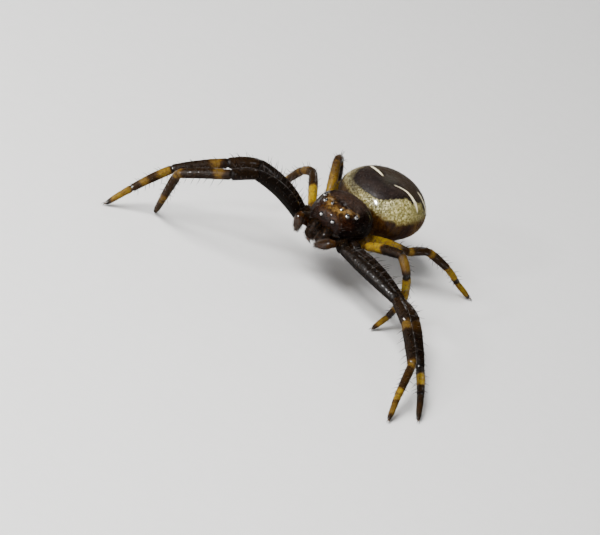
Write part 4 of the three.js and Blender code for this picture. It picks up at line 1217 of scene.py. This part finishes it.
# Many bristles at once: each bends from its root's way towards the way it lies, tapering to a point.
def bristlePart(roots, ways, lies, lengths, sizes, rootUv, sides, steps):
    count = len(roots)
    t = np.linspace(0, 1, steps + 1)[:-1]
    first = unit(np.cross(ways, lies + [1e-3, 2e-3, 3e-3]))
    bend = (ways[:, None] * t[None, :, None] + (lies - ways)[:, None] * (t ** 2 * 0.5)[None, :, None])
    path = roots[:, None] + bend * lengths[:, None, None]
    tips = bristleTips(roots, ways, lies, lengths)
    ahead = unit(ways[:, None] + (lies - ways)[:, None] * t[None, :, None])
    second = unit(np.cross(ahead, first[:, None]))
    angle = anglesRound(sides)
    taper = sizes[:, None] * (1 - t[None, :] ** 1.4 * 0.92)
    ring = (first[:, None, None] * np.cos(angle)[None, None, :, None]
            + second[:, :, None] * np.sin(angle)[None, None, :, None])
    body = path[:, :, None] + ring * taper[..., None, None]
    each = steps * sides + 1
    points = np.concatenate([body.reshape(count, -1, 3), tips[:, None]], 1).reshape(-1, 3)
    j = np.arange(sides)
    top = (steps - 1) * sides
    tip = np.stack([top + j, top + (j + 1) % sides, np.full(sides, each - 1)], -1)
    fan = np.stack([np.zeros(sides - 2, int), j[2:], j[1:-1]], -1)
    shift = np.arange(count)[:, None, None] * each
    quads = (tubeFaces(steps, sides)[0][None] + shift).reshape(-1, 4)
    tris = (np.vstack([tip, fan])[None] + shift).reshape(-1, 3)
    # each bristle is a small patch round its root on the skin's own unwrap
    patch = 0.003
    local = np.stack(np.broadcast_arrays(t[:, None], (j / sides)[None, :]), -1).reshape(-1, 2)
    uv = (rootUv[:, None] + (np.concatenate([local, [[1, 0.5]]]) - 0.5)[None] * patch).reshape(-1, 2)
    a, b, c = (points[tris[:sides, n]] for n in range(3))
    if (np.cross(b - a, c - a) * (a - path[0, -1])).sum() < 0:  # so that every face points out
        quads, tris = quads[:, ::-1], tris[:, ::-1]
    marks = dict(tone=np.repeat(rng.random(count), each),
                 along=np.tile(np.concatenate([np.repeat(t, sides), [1]]), count))
    return dict(points=points, quads=quads, quadUv=uv[quads], tris=tris, triUv=uv[tris], marks=marks,
                material=0)


def bristleTips(roots, ways, lies, lengths):
    return roots + (ways + (lies - ways) * 0.5) * lengths[:, None]


# Where the chosen points of a surface are, in space and on its unwrap.
def rootsOn(part, rows, cols):
    uv = onChart(part, np.stack([rows / (part["rows"] - 1), cols / part["cols"]], -1))
    return part["rings"][rows, cols], uv


bristles = dict(
    lean=24, leanSpread=7, turnSpread=9,  # degrees
    size=0.014, sunk=0.02, bend=0.25, lengthSpread=(0.8, 1.15),
    # rows on each piece: how many, degrees round from the top to the front, length
    front=dict(
        femur=[(7, 0, 0.52), (6, 55, 0.46), (6, -35, 0.46), (5, 25, 0.42), (5, 95, 0.36), (4, -90, 0.36)],
        patella=[(4, 10, 0.46), (3, 70, 0.40), (3, -60, 0.40)],
        tibia=[(6, 140, 0.40), (6, -140, 0.40), (4, 20, 0.40), (4, 80, 0.36), (4, -80, 0.36)],
        metatarsus=[(6, 140, 0.34), (6, -140, 0.34), (3, 60, 0.30), (3, -60, 0.30), (3, 0, 0.28)],
    ),
    hind=dict(
        femur=[(5, 0, 0.40), (3, 60, 0.34), (3, -50, 0.34)],
        patella=[(3, 10, 0.36), (2, 70, 0.3), (2, -70, 0.3)],
        tibia=[(4, 20, 0.36), (3, 150, 0.28), (3, -150, 0.28), (3, 80, 0.3), (3, -80, 0.3)],
        metatarsus=[(3, 20, 0.3), (3, 150, 0.26), (3, -150, 0.26), (2, 80, 0.26)],
    ),
)


# The rings, sides and lengths of a leg's bristles, set in rows along its pieces.
def legBristles(part):
    rows, cols, lengths = [], [], []
    for station, pieceRows in enumerate(bristles[buildOf[part["name"]]].values(), 1):
        for count, around, length in pieceRows:
            share = (np.arange(count) + 1 + rng.uniform(-0.2, 0.2, count)) / (count + 1)
            rows.append(np.searchsorted(part["stations"], station + share))
            spread = rng.uniform(-bristles["turnSpread"], bristles["turnSpread"], count)
            turn = np.radians(around + spread) + np.pi
            cols.append(np.round(turn / (2 * np.pi) * part["cols"]).astype(int) % part["cols"])
            lengths.append(length * rng.uniform(*bristles["lengthSpread"], count))
    return np.concatenate(rows), np.concatenate(cols), np.concatenate(lengths)


hair = dict(
    # for each surface: how many, from where on along a tube, how long
    leg=dict(count=520, start=0.1, reach=(0.08, 0.16)), mouth=dict(count=420, start=0.45, reach=(0.08, 0.17)),
    carapace=dict(count=520, reach=(0.08, 0.20), backward=0.3, size=0.008),
    abdomen=dict(count=1100, reach=(0.08, 0.18), backward=0.6, size=0.007),
    size=0.006, sunk=0.01, lean=(38, 62), bend=0.5, jitter=0.18,
    tipGap=0.03, rootGap=0.05, topGap=0.02,  # from the floor, and from the top of the solids
)


# Ways that lean from straight out towards the tip of the tube.
def tubeHairWays(part, rows, cols, lean):
    out, ahead = part["out"][rows, cols], part["ahead"][rows]
    return unit(out * np.cos(lean)[:, None] + ahead * np.sin(lean)[:, None])


# Hairs that would reach past the floor or the top of the solids are left out.
def keepInBox(roots, ways, lies, lengths):
    tips = bristleTips(roots, ways, lies, lengths)[:, 2]
    top = cadBounds[1][2] / mm - bodyHeight - hair["topGap"]
    straight = (roots + ways * lengths[:, None])[:, 2]
    overFloor = (tips > hair["tipGap"] - bodyHeight) & (roots[:, 2] > hair["rootGap"] - bodyHeight)
    return overFloor & (np.maximum(tips, straight) < top)


hornTone = dict(
    spine=((0.005, 0.003, 0.002), (0.030, 0.015, 0.006)),
    legHair=((0.008, 0.004, 0.002), (0.045, 0.022, 0.008)),
    bodyHair=((0.006, 0.004, 0.003), (0.035, 0.020, 0.010)),
)


def horn(name):
    s = Shader(name + "Horn", Specular_IOR_Level=0.15)
    tone = s.mark("tone")
    return s.finish(Base_Color=s.mix(tone * 0.6 + s.mark("along") * 0.4, *hornTone[name]),
                    Roughness=0.45 + 0.2 * tone)


# One object from groups of roots, ways, lies, lengths, sizes and places on the unwrap.
def addCoat(name, groups, material, sides, steps):
    values = [np.concatenate(group) for group in zip(*groups)]
    good = keepInBox(*values[:4])
    made = makeObject(name, [bristlePart(*[value[good] for value in values], sides, steps)], [material])


def addBristles(tubes):
    groups = []
    for part in tubes:
        rows, cols, lengths = legBristles(part)
        spread = rng.uniform(-bristles["leanSpread"], bristles["leanSpread"], len(rows))
        lean = np.radians(bristles["lean"] + spread)
        roots, uv = rootsOn(part, rows, cols)
        ways = tubeHairWays(part, rows, cols, lean)
        lies = tubeHairWays(part, rows, cols, lean + bristles["bend"])
        sizes = np.full(len(rows), bristles["size"])
        groups.append((roots - ways * bristles["sunk"], ways, lies, lengths, sizes, uv))
    addCoat("spines", groups, horn("spine"), 5, 6)


# Hairs on the carapace or the abdomen, lying backward, each kept with the chance that a function of its place
# and direction gives.
def surfaceHair(part, count, reach, backward, size, chance):
    points, normal = part["rings"], part["normal"]
    rows = rng.integers(2, part["rows"] - 2, count * 3)
    cols = rng.integers(0, part["cols"], count * 3)
    chosen = chance(points[rows, cols], normal[rows, cols]) > rng.random(count * 3)
    rows, cols = rows[chosen][:count], cols[chosen][:count]
    roots, uv = rootsOn(part, rows, cols)
    out = normal[rows, cols]
    lie = unit(np.array([0, 1.0, 0]) - out * out[:, 1:2])
    jitter = rng.normal(0, hair["jitter"], out.shape)
    ways = unit(out + lie * backward + jitter)
    lies = unit(out * 0.4 + lie * (backward + 0.8) + jitter)
    lengths = rng.uniform(*reach, len(rows))
    return roots - out * hair["sunk"], ways, lies, lengths, np.full(len(rows), size), uv


def addHair(tubes, mouthPieces, prosoma, abdomenSurface):
    groups = []
    for part in tubes + mouthPieces:
        coat = hair["leg" if part["name"] in legs["pose"] else "mouth"]
        count = coat["count"]
        rows = rng.integers(int(part["rows"] * coat["start"]), part["rows"] - 2, count)
        cols = rng.integers(0, part["cols"], count)
        lean = np.radians(rng.uniform(*hair["lean"], count))
        roots, uv = rootsOn(part, rows, cols)
        ways = tubeHairWays(part, rows, cols, lean)
        lies = tubeHairWays(part, rows, cols, lean + hair["bend"])
        lengths = rng.uniform(*coat["reach"], count)
        groups.append((roots - ways * hair["sunk"], ways, lies, lengths, np.full(count, hair["size"]), uv))
    addCoat("legHair", groups, horn("legHair"), 3, 4)
    groups = [surfaceHair(prosoma, **hair["carapace"],
                          chance=lambda places, ways: (places[:, 2] > -0.3) * 0.6),
              surfaceHair(abdomenSurface, **hair["abdomen"],
                          chance=lambda places, ways: 0.25 + 0.5 * (ways[:, 2] > -0.2))]
    addCoat("bodyHair", groups, horn("bodyHair"), 3, 4)


claws = dict(
    length=0.19, size=0.032, spread=20, sunk=0.02, arch=0.05, drop=0.055,
    taper=[1, 0.95, 0.85, 0.65, 0.4, 0.15],
    # places of the teeth along a claw, and their size
    teeth=[0.35, 0.5, 0.65, 0.8], toothLength=0.042, toothSize=0.011, toothTaper=[1, 0.7, 0.2],
    root=(0.10, 0.05, 0.02), tip=(0.012, 0.007, 0.005), grain=40,
)


def clawHorn():
    s = Shader("clawHorn", Roughness=0.18, Coat_Weight=0.5, Coat_Roughness=0.1, IOR=1.55)
    colour = s.mix(s.mark("station").rise(0.1, 0.8), claws["root"], claws["tip"])
    return s.finish(Base_Color=colour, Normal=s.bump(s.noise(s.place(), claws["grain"]), 0.15, 0.01))


# Two claws at each foot curve forward and down to the floor, each with a row of small teeth beneath.
def addClaws():
    parts = []
    t = np.linspace(0, 1, 6)
    arch = np.outer(claws["arch"] * np.sin(np.pi * t) - claws["drop"] * t ** 2, [0, 0, 1])
    for name in legs["pose"]:
        joints = legJoints(name)
        ahead = unit((joints[-1] - joints[-2]) * [1, 1, 0])
        for side in (1, -1):
            way = np.array([*turned(ahead[0], ahead[1], np.radians(side * claws["spread"])), 0])
            through = joints[-1] + way * (t * (claws["length"] + 0.03) - claws["sunk"])[:, None] + arch
            sizes = claws["size"] * np.array(claws["taper"])
            parts.append(limbPart("claw", through, sizes, 0, 18, 10, cap=(0, 0)))
            down = (way * 0.35 - [0, 0, 1]) * claws["toothLength"]
            sizes = claws["toothSize"] * np.array(claws["toothTaper"])
            for share in claws["teeth"]:
                root = np.array([np.interp(share, t, through[:, axis]) for axis in range(3)])
                tooth = root + np.outer([0, 0.55, 1], down)
                parts.append(limbPart("tooth", tooth, sizes, 0, 6, 6, cap=(0, 0)))
    packCharts(parts)
    made = makeObject("claws", parts, [clawHorn()])


# Putting it together

addCamera()
addLights()
addFloor()
print("camera, light and floor made")

tubes = [legTube(name) for name in legs["pose"]]
prosoma = prosomaPart()
abdomenSurface = abdomenPart()
mouthPieces = mouthParts()
parts = [*tubes, prosoma, *mouthPieces, abdomenSurface, *waistParts()]
packCharts(parts)
# in the order of the numbers that the parts give as their material
skinMaterials = [legSkin("darkLegSkin", 0.05), legSkin("bandedLegSkin", 0.25), carapaceSkin(), jawSkin(),
                 abdomenSkin(), spinneretSkin(), palpSkin()]
skin = makeObject("skin", parts, skinMaterials)
fleshNodes = ["prosoma", "chelicera_left", "chelicera_right", "palp_left", "palp_right", "pedicel", "abdomen",
              "spinnerets"]
fleshNodes += [f"leg_{name}_{piece}" for name in legs["pose"]
               for piece in ("femur", "patella", "tibia", "metatarsus", "tarsus")]
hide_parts(*fleshNodes)
print("skin made")

addEyes(prosoma)
addFangs()
addClaws()
addBristles(tubes)
addHair(tubes, mouthPieces, prosoma, abdomenSurface)
print("eyes, fangs, claws and hair made")
